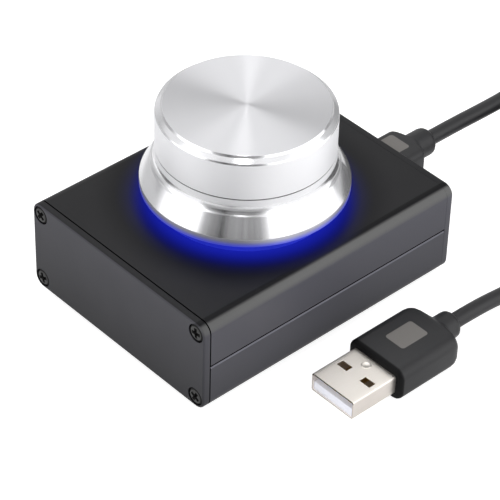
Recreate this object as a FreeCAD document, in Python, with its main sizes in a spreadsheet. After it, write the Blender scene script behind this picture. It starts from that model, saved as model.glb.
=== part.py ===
"""USB volume control knob: a turned aluminium knob on a small split aluminium box, with its USB lead.

Millimetres, +Z up. The origin is on the surface the box stands on, below the middle of the box. The lead
leaves the rear plate towards +Y, and its other plug lies beside the box on the +X side.
"""
import FreeCAD, Part
import math
import os
import re

import Sketcher
from FreeCAD import Placement, Rotation, Vector

doc = FreeCAD.newDocument("volume_knob")

# ---------------------------------------------------------------- driving dimensions

SIZES = {
    # box
    "box_width": 54, "box_length": 70, "box_height": 22, "wall": 1.8, "corner_round": 2.4,
    "plate_thickness": 1.8, "plate_bevel": 0.4, "seam_bevel": 0.25, "port_block": 4.6,
    # end plate screws
    "screw_inset": 2.55, "thread_radius": 1.25, "thread_length": 8, "thread_fit": 0.03,
    "head_radius": 1.95, "head_height": 1.0, "head_fit": 0.15, "cross_length": 2.2,
    "cross_width": 0.5, "cross_depth": 0.6,
    # feet
    "foot_radius": 4.5, "foot_height": 1.5, "foot_inset": 8, "foot_bevel": 0.4,
    # circuit board and its rails
    "board_thickness": 1.6, "board_fit": 0.15, "rail_depth": 1.5, "rail_height": 1.1,
    # encoder
    "encoder_width": 11.6, "encoder_depth": 12, "base_floor": 0.5, "well_radius": 2.5,
    "well_depth": 1.3, "cavity_radius": 4.8, "cavity_depth": 2.8, "bracket_thickness": 0.4,
    "bracket_depth": 8, "bush_plate": 1.5, "bush_radius": 3.5, "bush_height": 5.3,
    "collar_radius": 3.7, "collar_height": 0.7, "collar_fit": 0.1, "push_travel": 0.5, "shaft_radius": 3,
    "shaft_flat": 1.5, "shaft_fit": 0.05, "shaft_end_gap": 0.3, "drive_radius": 2.2, "drive_flat": 1.6,
    "dome_height": 0.8, "dome_radius": 2.3, "dome_sheet": 0.12, "plunger_height": 0.55,
    "rotor_radius": 4.6, "rotor_disc": 1.5, "rotor_hub": 0.9, "rotor_hub_radius": 3.1,
    "spring_sheet": 0.2, "spring_gap": 0.05, "pin_width": 0.8, "pin_sheet": 0.3,
    "pin_stick": 0.8, "pin_hole": 0.6, "pin_pitch": 2.5, "lug_width": 2, "washer_radius": 5.2,
    "washer_sheet": 0.5, "nut_flats": 10, "nut_height": 2,
    # light ring and LEDs
    "ring_inner": 14.5, "ring_outer": 19, "ring_height": 2.4, "ring_round": 0.5,
    "pipe_circle": 16.5, "pipe_radius": 1.5, "pipe_fit": 0.1, "led_gap": 0.4,
    "led_length": 3.5, "led_width": 2.8, "led_height": 1.9,
    # parts under the board
    "chip_side": 7, "chip_height": 0.9, "chip_left": 11.5, "chip_back": 14,
    "crystal_length": 5, "crystal_width": 3.2, "crystal_height": 1.1, "crystal_round": 0.5,
    "crystal_gap": 1.6, "capacitor_radius": 2, "capacitor_height": 5.4,
    "capacitor_right": 12.5, "capacitor_back": 17.5, "capacitor_foot": 4.3,
    "capacitor_foot_height": 0.8, "resistor_length": 1.6,
    "resistor_width": 0.8, "resistor_height": 0.5, "resistor_circle": 12.5,
    # knob
    "knob_gap": 3.5, "knob_base_radius": 22.1, "rim_height": 1.8, "skirt_top_radius": 19.5,
    "skirt_height": 3.6, "neck_radius": 18.4, "neck_height": 4.2, "cove_radius": 0.95,
    "knob_radius": 18.9, "knob_height": 8.5, "face_radius": 17.4, "face_rise": 1.5,
    "recess_radius": 13, "recess_depth": 4, "bore_depth": 11, "bore_fit": 0.02,
    "grub_radius": 1.5, "grub_length": 5.5, "grub_height": 8, "grub_socket": 0.9,
    "grub_socket_depth": 2,
    # micro plug and its jack
    "plug_offset": 1.7, "micro_width": 6.85, "micro_height": 1.85, "micro_reach": 5,
    "micro_embed": 3, "micro_wall": 0.25, "micro_round": 0.5, "plug_fit": 0.05,
    "jack_wall": 0.28, "jack_length": 5.2, "jack_recess": 0.3, "slot_margin": 0.25,
    "tongue_width": 3.8, "tongue_height": 0.6, "tongue_length": 4,
    "grip_gap": 0.3, "micro_grip_width": 11, "micro_grip_height": 6.3,
    "micro_grip_length": 13.5, "micro_grip_round": 2.2, "micro_shoulder": 1.2,
    "micro_boss_radius": 3, "micro_boss_length": 5, "boss_round": 1.0,
    # USB-A plug
    "usb_a_side": 42.4, "usb_a_front": 14, "usb_a_width": 12, "usb_a_height": 4.5,
    "usb_a_reach": 12, "usb_a_embed": 3, "usb_a_wall": 0.3, "usb_a_round": 0.4,
    "window_width": 2.5, "window_length": 2, "window_side": 3.3, "window_back": 6.55,
    "usb_a_tongue_height": 1.95, "usb_a_tongue_fit": 0.1, "usb_a_tongue_recess": 0.4,
    "contact_width": 1, "contact_sheet": 0.15, "contact_length": 7.5, "contact_pitch": 2.5,
    "contact_inner_pitch": 2, "contact_back": 1.5, "usb_a_grip_width": 15.4,
    "usb_a_grip_height": 8, "usb_a_grip_length": 17.5, "usb_a_grip_round": 2.4,
    "usb_a_shoulder": 2.2, "usb_a_boss_radius": 3.1, "usb_a_boss_length": 5,
    # lead
    "cord_radius": 1.75, "coil_radius": 19.25, "coil_columns": 3, "coil_layers": 4,
    "coil_round": 1.6,
}

# heights and lengths that follow from the driving dimensions
DERIVED = {
    "box_middle": "foot_height + box_height/2",
    "box_top": "foot_height + box_height",
    "ceiling": "box_top - wall",
    "shell_length": "box_length - 2*plate_thickness",
    "inner_half": "box_width/2 - wall",
    "base_height": "base_floor + well_depth + cavity_depth",
    "board_top": "ceiling - bush_plate - bracket_thickness - base_height",
    "board_bottom": "board_top - board_thickness",
    "board_half": "inner_half - board_fit",
    "rotor_bottom": "board_top + base_floor + well_depth",
    "plunger_top": "board_top + base_floor + dome_height + plunger_height",
    "collar_top": "board_top + base_height + bracket_thickness + push_travel + collar_height",
    "knob_bottom": "box_top + knob_gap",
    "bore_bottom": "knob_bottom + recess_depth",
    "shaft_top": "bore_bottom + bore_depth - shaft_end_gap",
    "jack_width": "micro_width + 2*plug_fit + 2*jack_wall",
    "jack_height": "micro_height + 2*plug_fit + 2*jack_wall",
    "jack_front": "box_length/2 - jack_recess",
    "plug_height": "board_bottom - jack_height/2",
    "grip_front": "box_length/2 + grip_gap",
    "usb_a_grip_front": "usb_a_reach - usb_a_front",
}


def fill_sheet():
    """The sheet of sizes: name, number or formula, with the name as the alias."""
    table = doc.addObject("Spreadsheet::Sheet", "sizes")
    rows = list(SIZES.items()) + [(name, "=" + formula) for name, formula in DERIVED.items()]
    for row, (name, content) in enumerate(rows, 1):
        table.set("A%d" % row, name)
        table.set("B%d" % row, str(content))
        table.setAlias("B%d" % row, name)
    doc.recompute()
    return table


sheet = fill_sheet()
parts = []


def bound(expression):
    """The expression with each size name pointed at the sheet."""
    def point(word):
        name = word.group()
        return "sizes." + name if name in SIZES or name in DERIVED else name
    return re.sub(r"[a-z][a-z_]*", point, expression)


def value(expression):
    """The number that an expression of size names gives."""
    return float(sheet.evalExpression(bound(expression)))


def bind(thing, **expressions):
    """Tie properties of a document object to size expressions; __ stands for a dot in their path."""
    for path, expression in expressions.items():
        thing.setExpression(path.replace("__", "."), bound(expression))


def keep(thing, label, x="0", y="0", z="0"):
    """Name a sub-part, put it in its place and list it for writing."""
    thing.Label = label
    bind(thing, Placement__Base__x=x, Placement__Base__y=y, Placement__Base__z=z)
    parts.append(thing)
    return thing


# ---------------------------------------------------------------- sketches

def new_body(name):
    return doc.addObject("PartDesign::Body", name)


def new_sketch(body, role, offset="0"):
    """A sketch on one of the body's own origin planes, moved along the plane's normal by offset."""
    sketch = body.newObject("Sketcher::SketchObject", body.Name + "_sketch")
    plane = next(item for item in body.Origin.OriginFeatures if item.Role == role)
    sketch.AttachmentSupport = (plane, [""])
    sketch.MapMode = "FlatFace"
    bind(sketch, AttachmentOffset__Base__z=offset)
    return sketch


def pin_point(sketch, geometry, point, x, y):
    """Hold one point of the sketch at two size expressions from its origin."""
    for kind, expression in (("DistanceX", x), ("DistanceY", y)):
        number = sketch.addConstraint(
            Sketcher.Constraint(kind, -1, 1, geometry, point, value(expression)))
        sketch.setExpression("Constraints[%d]" % number, bound(expression))


def set_radius(sketch, geometry, radius):
    number = sketch.addConstraint(Sketcher.Constraint("Radius", geometry, value(radius)))
    sketch.setExpression("Constraints[%d]" % number, bound(radius))


def polygon(sketch, corners):
    """A closed outline of straight lines through the corners."""
    points = [Vector(value(x), value(y), 0) for x, y in corners]
    following = points[1:] + points[:1]
    lines = [sketch.addGeometry(Part.LineSegment(start, end), False)
             for start, end in zip(points, following)]
    for line, after in zip(lines, lines[1:] + lines[:1]):
        sketch.addConstraint(Sketcher.Constraint("Coincident", line, 2, after, 1))
    for line, (x, y) in zip(lines, corners):
        pin_point(sketch, line, 1, x, y)
    return sketch


def rectangle(sketch, left, low, right, high):
    return polygon(sketch, [(left, low), (right, low), (right, high), (left, high)])


def circle(sketch, x, y, radius):
    centre = Vector(value(x), value(y), 0)
    number = sketch.addGeometry(Part.Circle(centre, Vector(0, 0, 1), value(radius)), False)
    pin_point(sketch, number, 3, x, y)
    set_radius(sketch, number, radius)
    return sketch


def flatted_circle(sketch, radius, flat):
    """A circle about the origin, cut straight at the distance flat towards the sketch's own +Y."""
    round_size, flat_size = value(radius), value(flat)
    start = math.asin(flat_size / round_size)
    whole = Part.Circle(Vector(0, 0, 0), Vector(0, 0, 1), round_size)
    arc = sketch.addGeometry(Part.ArcOfCircle(whole, math.pi - start, 2 * math.pi + start), False)
    reach = round_size * math.cos(start)
    line = sketch.addGeometry(
        Part.LineSegment(Vector(reach, flat_size, 0), Vector(-reach, flat_size, 0)), False)
    sketch.addConstraint(Sketcher.Constraint("Coincident", arc, 3, -1, 1))
    sketch.addConstraint(Sketcher.Constraint("Coincident", arc, 2, line, 1))
    sketch.addConstraint(Sketcher.Constraint("Coincident", line, 2, arc, 1))
    sketch.addConstraint(Sketcher.Constraint("Horizontal", line))
    set_radius(sketch, arc, radius)
    number = sketch.addConstraint(Sketcher.Constraint("DistanceY", -1, 1, line, 1, flat_size))
    sketch.setExpression("Constraints[%d]" % number, bound(flat))
    return sketch


# ---------------------------------------------------------------- features

def add_feature(body, kind, sketch):
    feature = body.newObject("PartDesign::" + kind, "%s_%s" % (body.Name, kind.lower()))
    feature.Profile = sketch
    return feature


def pad(body, sketch, length, symmetric=False, backwards=False):
    """Extrude a sketch along its normal, against it, or half to each side."""
    feature = add_feature(body, "Pad", sketch)
    bind(feature, Length=length)
    feature.SideType = "Symmetric" if symmetric else "One side"
    feature.Reversed = backwards
    doc.recompute()
    return feature


def pocket(body, sketch, depth=None, symmetric=False, backwards=False):
    """Cut a sketch into the body against its normal (backwards: along it), through all without a depth."""
    before = body.Shape.Volume
    feature = add_feature(body, "Pocket", sketch)
    feature.SideType = "Symmetric" if symmetric else "One side"
    feature.Reversed = backwards
    if depth is None:
        feature.Type = "ThroughAll"
    else:
        bind(feature, Length=depth)
    doc.recompute()
    if body.Shape.Volume >= before:
        raise ValueError("the pocket %s removes nothing" % feature.Name)
    return feature


def revolve(body, corners):
    """Turn an outline of (radius, height) corners about the body's Z axis."""
    feature = add_feature(body, "Revolution", polygon(new_sketch(body, "XZ_Plane"), corners))
    feature.ReferenceAxis = (feature.Profile[0], ["V_Axis"])
    doc.recompute()
    return feature


def polar(body, feature, count):
    """Repeat a feature evenly about the body's Z axis."""
    pattern = body.newObject("PartDesign::PolarPattern", body.Name + "_pattern")
    pattern.Originals = [feature]
    pattern.Axis = (next(f for f in body.Origin.OriginFeatures if f.Role == "Z_Axis"), [""])
    pattern.Angle = 360
    pattern.Occurrences = count
    body.Tip = pattern
    doc.recompute()
    return pattern


def dress(body, kind, size, test):
    """Fillet or Chamfer the edges of the body that pass the test."""
    base = body.Tip
    names = ["Edge%d" % number for number, edge in enumerate(base.Shape.Edges, 1) if test(edge)]
    if not names:
        raise ValueError("no edge of %s to %s" % (body.Name, kind.lower()))
    feature = body.newObject("PartDesign::" + kind, "%s_%s" % (body.Name, kind.lower()))
    feature.Base = (base, names)
    bind(feature, **{"Radius" if kind == "Fillet" else "Size": size})
    doc.recompute()
    return feature


def near(first, second):
    return abs(first - second) < 1e-4


def runs_along(edge, direction):
    """True for a straight edge parallel to the direction."""
    if not isinstance(edge.Curve, Part.Line):
        return False
    return near(abs(edge.tangentAt(edge.FirstParameter).dot(direction)), 1)


def is_ring(edge, radius, height):
    """True for a circular edge about a vertical axis with this radius and height."""
    return (isinstance(edge.Curve, Part.Circle) and near(edge.Curve.Radius, radius)
            and near(edge.Curve.Center.z, height) and near(abs(edge.Curve.Axis.z), 1))


X_WAY, Y_WAY, Z_WAY = Vector(1, 0, 0), Vector(0, 1, 0), Vector(0, 0, 1)


# ---------------------------------------------------------------- groups of like solids

def group(label, master, places):
    """Copies of one solid at (x, y, z, turn about Z) places, as a single node."""
    copies = []
    for number, (x, y, z, turn) in enumerate(places, 1):
        copy = doc.addObject("App::Link", "%s_%d" % (label, number))
        copy.LinkedObject = master
        copy.Placement = Placement(Vector(0, 0, 0), Rotation(Z_WAY, turn))
        bind(copy, Placement__Base__x=x, Placement__Base__y=y, Placement__Base__z=z)
        copies.append(copy)
    compound = doc.addObject("Part::Compound", label)
    compound.Links = copies
    return keep(compound, label)


# ---------------------------------------------------------------- enclosure

CUT_MARGIN = "1"
PIPE_COUNT = 8


def port_places(side):
    """The screw holes of one half shell, in its own profile: side is 1 above the seam, -1 below."""
    height = "%d*(box_height/2 - screw_inset)" % side
    return [("%d*(box_width/2 - screw_inset)" % way, height) for way in (-1, 1)]


def half_shell(label, side, cavity):
    """Half of the split extrusion, from the seam outwards; cavity is the right half of its inner profile."""
    body = new_body(label)
    outline = rectangle(new_sketch(body, "XZ_Plane"), "-box_width/2", "0",
                        "box_width/2", "%d*box_height/2" % side)
    pad(body, outline, "shell_length", symmetric=True)
    mirrored = [("-(%s)" % x, y) for x, y in reversed(cavity)]
    pocket(body, polygon(new_sketch(body, "XZ_Plane"), cavity + mirrored), symmetric=True)
    outer = side * value("box_height/2")
    dress(body, "Fillet", "corner_round",
          lambda edge: runs_along(edge, Y_WAY) and near(edge.CenterOfMass.z, outer))
    half = value("box_width/2")
    dress(body, "Chamfer", "seam_bevel",
          lambda edge: runs_along(edge, Y_WAY) and near(edge.CenterOfMass.z, 0)
          and near(abs(edge.CenterOfMass.x), half))
    ports = new_sketch(body, "XZ_Plane")
    for x, y in port_places(side):
        circle(ports, x, y, "thread_radius + thread_fit")
    pocket(body, ports, symmetric=True)
    return keep(body, label, z="box_middle")


def make_shells():
    port_x = "box_width/2 - port_block"
    rail_x = "inner_half - rail_depth"
    slot_low = "board_bottom - box_middle"
    slot_high = "board_top - box_middle + board_fit"
    rail_top = slot_high + " + rail_height"
    upper = half_shell("upper_shell", 1, [
        (rail_x, "-" + CUT_MARGIN), (rail_x, slot_low), ("inner_half", slot_low),
        ("inner_half", slot_high), (rail_x, slot_high), (rail_x, rail_top),
        ("inner_half", rail_top), ("inner_half", "box_height/2 - port_block"),
        (port_x, "box_height/2 - port_block"), (port_x, "box_height/2 - wall")])
    bush_hole = circle(new_sketch(upper, "XY_Plane", "box_height/2"), "0", "0",
                       "bush_radius + pipe_fit")
    pocket(upper, bush_hole, "wall + " + CUT_MARGIN)
    pipe_hole = circle(new_sketch(upper, "XY_Plane", "box_height/2"), "pipe_circle", "0",
                       "pipe_radius + pipe_fit")
    polar(upper, pocket(upper, pipe_hole, "wall + " + CUT_MARGIN), PIPE_COUNT)
    half_shell("lower_shell", -1, [
        (port_x, "wall - box_height/2"), (port_x, "port_block - box_height/2"),
        ("inner_half", "port_block - box_height/2"), ("inner_half", CUT_MARGIN)])


def end_plate(label, outward, slot=False):
    """A flat plate with sunk screw heads; outward is -1 at the front and 1 at the rear."""
    body = new_body(label)
    outline = rectangle(new_sketch(body, "XZ_Plane"), "-box_width/2", "-box_height/2",
                        "box_width/2", "box_height/2")
    pad(body, outline, "plate_thickness", symmetric=True)
    dress(body, "Fillet", "corner_round", lambda edge: runs_along(edge, Y_WAY))
    outer_face = outward * value("plate_thickness/2")
    dress(body, "Chamfer", "plate_bevel", lambda edge: near(edge.CenterOfMass.y, outer_face)
          and not runs_along(edge, Y_WAY))
    holes = new_sketch(body, "XZ_Plane")
    sinks = new_sketch(body, "XZ_Plane", "%d*plate_thickness/2" % -outward)
    for x, y in port_places(1) + port_places(-1):
        circle(holes, x, y, "thread_radius + head_fit")
        circle(sinks, x, y, "head_radius + head_fit")
    pocket(body, holes, symmetric=True)
    pocket(body, sinks, "head_height", backwards=outward > 0)
    if slot:
        opening = rectangle(
            new_sketch(body, "XZ_Plane"),
            "plug_offset - jack_width/2 - slot_margin",
            "plug_height - box_middle - jack_height/2 - slot_margin",
            "plug_offset + jack_width/2 + slot_margin",
            "plug_height - box_middle + jack_height/2 + slot_margin")
        pocket(body, opening, symmetric=True)
    middle = "%d*(box_length/2 - plate_thickness/2)" % outward
    return keep(body, label, y=middle, z="box_middle")


def make_screws():
    """Cross-head screws: one master with its head's face at its origin, its thread towards +Y."""
    body = new_body("plate_screw")
    head = circle(new_sketch(body, "XZ_Plane"), "0", "0", "head_radius")
    pad(body, head, "head_height", backwards=True)
    thread = circle(new_sketch(body, "XZ_Plane"), "0", "0", "thread_radius")
    pad(body, thread, "head_height + thread_length", backwards=True)
    for long_way, short_way in (("cross_length", "cross_width"), ("cross_width", "cross_length")):
        arm = rectangle(new_sketch(body, "XZ_Plane"), "-%s/2" % long_way, "-%s/2" % short_way,
                        "%s/2" % long_way, "%s/2" % short_way)
        pocket(body, arm, "cross_depth")
    for label, outward in (("front_plate_screws", -1), ("rear_plate_screws", 1)):
        face = "%d*box_length/2" % outward
        turn = 90 * (outward + 1)
        group(label, body, [(x, face, "box_middle + %s" % y, turn)
                            for x, y in port_places(1) + port_places(-1)])


def make_feet():
    for end, way_y in (("front", -1), ("rear", 1)):
        for side, way_x in (("left", -1), ("right", 1)):
            label = "foot_%s_%s" % (end, side)
            body = new_body(label)
            revolve(body, [("0", "0"), ("foot_radius - foot_bevel", "0"),
                           ("foot_radius", "foot_bevel"), ("foot_radius", "foot_height"),
                           ("0", "foot_height")])
            keep(body, label, x="%d*(box_width/2 - foot_inset)" % way_x,
                 y="%d*(box_length/2 - foot_inset)" % way_y)


# ---------------------------------------------------------------- circuit board and light

PIN_SPOTS = [("-pin_pitch", -1), ("0", -1), ("pin_pitch", -1), ("-pin_pitch", 1), ("pin_pitch", 1)]


def pin_place(spot):
    """The middle of one encoder pin: its distance to the side, and against the base's front or rear."""
    side, way = spot
    return side, "%d*(encoder_depth/2 + pin_sheet/2)" % way


def make_board():
    body = new_body("circuit_board")
    half_length = "shell_length/2 - board_fit"
    outline = rectangle(new_sketch(body, "XY_Plane"), "-board_half", "-(%s)" % half_length,
                        "board_half", half_length)
    pad(body, outline, "board_thickness")
    holes = new_sketch(body, "XY_Plane", "board_thickness")
    for spot in PIN_SPOTS:
        x, y = pin_place(spot)
        circle(holes, x, y, "pin_hole")
    pocket(body, holes, "board_thickness")
    slots = new_sketch(body, "XY_Plane", "board_thickness")
    for way in (-1, 1):
        near_side = "encoder_width/2 - board_fit/2"
        far_side = "encoder_width/2 + bracket_thickness + board_fit/2"
        left, right = (near_side, far_side) if way > 0 else ("-(%s)" % far_side, "-(%s)" % near_side)
        rectangle(slots, left, "-lug_width/2 - board_fit", right, "lug_width/2 + board_fit")
    pocket(body, slots, "board_thickness")
    keep(body, "circuit_board", z="board_bottom")


def make_light():
    ring = new_body("light_ring")
    revolve(ring, [("ring_inner", "0"), ("ring_outer", "0"), ("ring_outer", "ring_height"),
                   ("ring_inner", "ring_height")])
    high = value("ring_height")
    dress(ring, "Fillet", "ring_round", lambda edge: near(edge.CenterOfMass.z, high)
          and isinstance(edge.Curve, Part.Circle))
    pipe = circle(new_sketch(ring, "XY_Plane"), "pipe_circle", "0", "pipe_radius")
    length = "box_top - board_top - led_height - led_gap"
    polar(ring, pad(ring, pipe, length, backwards=True), PIPE_COUNT)
    keep(ring, "light_ring", z="box_top")

    led = new_body("led")
    outline = rectangle(new_sketch(led, "XY_Plane"), "pipe_circle - led_width/2", "-led_length/2",
                        "pipe_circle + led_width/2", "led_length/2")
    pad(led, outline, "led_height")
    turns = [360 * number / PIPE_COUNT for number in range(PIPE_COUNT)]
    group("blue_leds", led, [("0", "0", "board_top", turn) for turn in turns])

    resistor = new_body("resistor")
    outline = rectangle(new_sketch(resistor, "XY_Plane"),
                        "resistor_circle - resistor_length/2", "-resistor_width/2",
                        "resistor_circle + resistor_length/2", "resistor_width/2")
    pad(resistor, outline, "resistor_height")
    half_step = 180 / PIPE_COUNT
    group("led_resistors", resistor,
          [("0", "0", "board_bottom - resistor_height", turn + half_step) for turn in turns])


def make_board_parts():
    """The controller, its crystal and the reservoir capacitor, all on the underside of the board."""
    chip = new_body("controller_chip")
    pad(chip, rectangle(new_sketch(chip, "XY_Plane"), "-chip_side/2", "-chip_side/2",
                        "chip_side/2", "chip_side/2"), "chip_height")
    keep(chip, "controller_chip", x="-chip_left", y="chip_back", z="board_bottom - chip_height")

    crystal = new_body("crystal")
    pad(crystal, rectangle(new_sketch(crystal, "XY_Plane"), "-crystal_length/2", "-crystal_width/2",
                           "crystal_length/2", "crystal_width/2"), "crystal_height")
    dress(crystal, "Fillet", "crystal_round", lambda edge: runs_along(edge, Z_WAY))
    keep(crystal, "crystal", x="-chip_left",
         y="chip_back + chip_side/2 + crystal_gap + crystal_width/2", z="board_bottom - crystal_height")

    capacitor = new_body("reservoir_capacitor")
    foot = "capacitor_foot/2"
    pad(capacitor, rectangle(new_sketch(capacitor, "XY_Plane"), "-" + foot, "-" + foot, foot, foot),
        "capacitor_foot_height", backwards=True)
    pad(capacitor, circle(new_sketch(capacitor, "XY_Plane"), "0", "0", "capacitor_radius"),
        "capacitor_height", backwards=True)
    keep(capacitor, "reservoir_capacitor", x="capacitor_right", y="capacitor_back",
         z="board_bottom")


# ---------------------------------------------------------------- encoder

def make_encoder_housing():
    base = new_body("encoder_base")
    half_x, half_y = "encoder_width/2", "encoder_depth/2"
    pad(base, rectangle(new_sketch(base, "XY_Plane"), "-" + half_x, "-" + half_y, half_x, half_y),
        "base_height")
    pocket(base, circle(new_sketch(base, "XY_Plane", "base_height"), "0", "0", "cavity_radius"),
           "cavity_depth")
    pocket(base, circle(new_sketch(base, "XY_Plane", "base_floor + well_depth"), "0", "0",
                        "well_radius"), "well_depth")
    keep(base, "encoder_base", z="board_top")

    pin = new_body("encoder_pin")
    pad(pin, rectangle(new_sketch(pin, "XY_Plane"), "-pin_width/2", "-pin_sheet/2",
                       "pin_width/2", "pin_sheet/2"), "pin_stick + board_thickness + base_floor")
    group("encoder_pins", pin,
          [pin_place(spot) + ("board_bottom - pin_stick", 0) for spot in PIN_SPOTS])

    bracket = new_body("encoder_bracket")
    outer = "encoder_width/2 + bracket_thickness"
    high = "base_height + bracket_thickness"
    pad(bracket, polygon(new_sketch(bracket, "XZ_Plane"), [
        ("-(%s)" % outer, "0"), ("-" + half_x, "0"), ("-" + half_x, "base_height"),
        (half_x, "base_height"), (half_x, "0"), (outer, "0"), (outer, high),
        ("-(%s)" % outer, high)]), "bracket_depth", symmetric=True)
    for left, right in (("-(%s)" % outer, "-" + half_x), (half_x, outer)):
        lug = rectangle(new_sketch(bracket, "XZ_Plane"), left, "-board_thickness - pin_stick",
                        right, "0")
        pad(bracket, lug, "lug_width", symmetric=True)
    pocket(bracket, circle(new_sketch(bracket, "XY_Plane", high), "0", "0",
                           "collar_radius + 2*collar_fit"), "bracket_thickness + shaft_fit")
    keep(bracket, "encoder_bracket", z="board_top")


def make_bush():
    bush = new_body("encoder_bush")
    half_x, half_y = "encoder_width/2", "encoder_depth/2"
    pad(bush, rectangle(new_sketch(bush, "XY_Plane"), "-" + half_x, "-" + half_y, half_x, half_y),
        "bush_plate")
    pad(bush, circle(new_sketch(bush, "XY_Plane"), "0", "0", "bush_radius"),
        "bush_plate + bush_height")
    pocket(bush, circle(new_sketch(bush, "XY_Plane", "bush_plate + bush_height"), "0", "0",
                        "shaft_radius + shaft_fit"))
    collar_room = circle(new_sketch(bush, "XY_Plane"), "0", "0", "collar_radius + collar_fit")
    pocket(bush, collar_room, "push_travel + collar_height", backwards=True)
    keep(bush, "encoder_bush", z="ceiling - bush_plate")

    washer = new_body("bush_washer")
    revolve(washer, [("bush_radius + shaft_fit", "0"), ("washer_radius", "0"),
                     ("washer_radius", "washer_sheet"), ("bush_radius + shaft_fit", "washer_sheet")])
    keep(washer, "bush_washer", z="box_top")

    hexagon = doc.addObject("Part::Prism", "nut_blank")
    hexagon.Polygon = 6
    bind(hexagon, Circumradius="nut_flats/sqrt(3)", Height="nut_height")
    thread = doc.addObject("Part::Cylinder", "nut_thread")
    bind(thread, Radius="bush_radius + shaft_fit", Height="nut_height")
    nut = doc.addObject("Part::Cut", "bush_nut")
    nut.Base = hexagon
    nut.Tool = thread
    keep(nut, "bush_nut", z="box_top + washer_sheet")


def make_encoder_movement():
    shaft = new_body("encoder_shaft")
    collar_bottom = "collar_top - collar_height - plunger_top"
    revolve(shaft, [("0", collar_bottom), ("collar_radius", collar_bottom),
                    ("collar_radius", "collar_top - plunger_top"),
                    ("shaft_radius", "collar_top - plunger_top"),
                    ("shaft_radius", "bore_bottom - plunger_top"),
                    ("0", "bore_bottom - plunger_top")])
    pad(shaft, flatted_circle(new_sketch(shaft, "XY_Plane"), "drive_radius", "drive_flat"),
        "collar_top - plunger_top")
    pad(shaft, flatted_circle(new_sketch(shaft, "XY_Plane", "bore_bottom - plunger_top"),
                              "shaft_radius", "shaft_flat"), "shaft_top - bore_bottom")
    keep(shaft, "encoder_shaft", z="plunger_top")

    rotor = new_body("encoder_rotor")
    revolve(rotor, [("0", "shaft_fit"), ("rotor_hub_radius", "shaft_fit"),
                    ("rotor_hub_radius", "rotor_hub"), ("rotor_radius", "rotor_hub"),
                    ("rotor_radius", "rotor_hub + rotor_disc"), ("0", "rotor_hub + rotor_disc")])
    hole = flatted_circle(new_sketch(rotor, "XY_Plane", "rotor_hub + rotor_disc"),
                          "drive_radius + shaft_fit", "drive_flat + shaft_fit")
    pocket(rotor, hole)
    keep(rotor, "encoder_rotor", z="rotor_bottom")

    spring = new_body("detent_spring")
    high = "rotor_hub + rotor_disc + spring_gap"
    revolve(spring, [("rotor_hub_radius", high), ("cavity_radius", high),
                     ("cavity_radius", high + " + spring_sheet"),
                     ("rotor_hub_radius", high + " + spring_sheet")])
    keep(spring, "detent_spring", z="rotor_bottom")

    plunger = new_body("switch_plunger")
    revolve(plunger, [("0", "0"), ("dome_radius", "0"), ("dome_radius", "plunger_height"),
                      ("0", "plunger_height")])
    keep(plunger, "switch_plunger", z="plunger_top - plunger_height")

    dome = new_body("switch_dome")
    revolve(dome, [("0", "dome_height - dome_sheet"), ("dome_radius/2", "dome_height - dome_sheet"),
                   ("dome_radius - 2*dome_sheet", "0"), ("dome_radius", "0"),
                   ("dome_radius/2 + dome_sheet", "dome_height"), ("0", "dome_height")])
    keep(dome, "switch_dome", z="board_top + base_floor")


# ---------------------------------------------------------------- knob

def make_knob():
    knob = new_body("knob")
    skirt_top = "rim_height + skirt_height"
    shoulder = skirt_top + " + neck_height"
    edge_height = shoulder + " + knob_height"
    face = edge_height + " + face_rise"
    revolve(knob, [("0", "recess_depth"), ("recess_radius", "recess_depth"), ("recess_radius", "0"),
                   ("knob_base_radius", "0"), ("knob_base_radius", "rim_height"),
                   ("skirt_top_radius", skirt_top), ("neck_radius", skirt_top),
                   ("neck_radius", shoulder), ("knob_radius", shoulder),
                   ("knob_radius", edge_height), ("face_radius", face), ("0", face)])
    dress(knob, "Fillet", "cove_radius",
          lambda edge: is_ring(edge, value("neck_radius"), value(skirt_top)))
    bore = flatted_circle(new_sketch(knob, "XY_Plane", "recess_depth"),
                          "shaft_radius + bore_fit", "shaft_flat + bore_fit")
    pocket(knob, bore, "bore_depth", backwards=True)
    grub_hole = circle(new_sketch(knob, "XZ_Plane"), "0", "grub_height", "grub_radius + bore_fit")
    pocket(knob, grub_hole)
    keep(knob, "knob", z="knob_bottom")

    stud = doc.addObject("Part::Cylinder", "grub_stud")
    bind(stud, Radius="grub_radius", Height="grub_length")
    socket = doc.addObject("Part::Prism", "grub_socket")
    socket.Polygon = 6
    bind(socket, Circumradius="grub_socket", Height="grub_socket_depth",
         Placement__Base__z="grub_length - grub_socket_depth")
    grub = doc.addObject("Part::Cut", "knob_grub_screw")
    grub.Base = stud
    grub.Tool = socket
    grub.Placement = Placement(Vector(0, 0, 0), Rotation(X_WAY, -90))
    keep(grub, "knob_grub_screw", y="shaft_flat", z="knob_bottom + grub_height")


# ---------------------------------------------------------------- jack and plugs

def centred(width, height):
    """The four expressions of a rectangle about the sketch's origin."""
    return "-(%s)/2" % width, "-(%s)/2" % height, "(%s)/2" % width, "(%s)/2" % height


def tube_shell(body, width, height, wall, length, rounding, floor=None):
    """A flat metal tube along +Y from the body's origin, open at the far end or closed by a floor."""
    pad(body, rectangle(new_sketch(body, "XZ_Plane"), *centred(width, height)), length,
        backwards=True)
    dress(body, "Fillet", rounding, lambda edge: runs_along(edge, Y_WAY))
    inside = centred("%s - 2*%s" % (width, wall), "%s - 2*%s" % (height, wall))
    start = "0" if floor is None else "-(%s)" % floor
    pocket(body, rectangle(new_sketch(body, "XZ_Plane", start), *inside))


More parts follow.
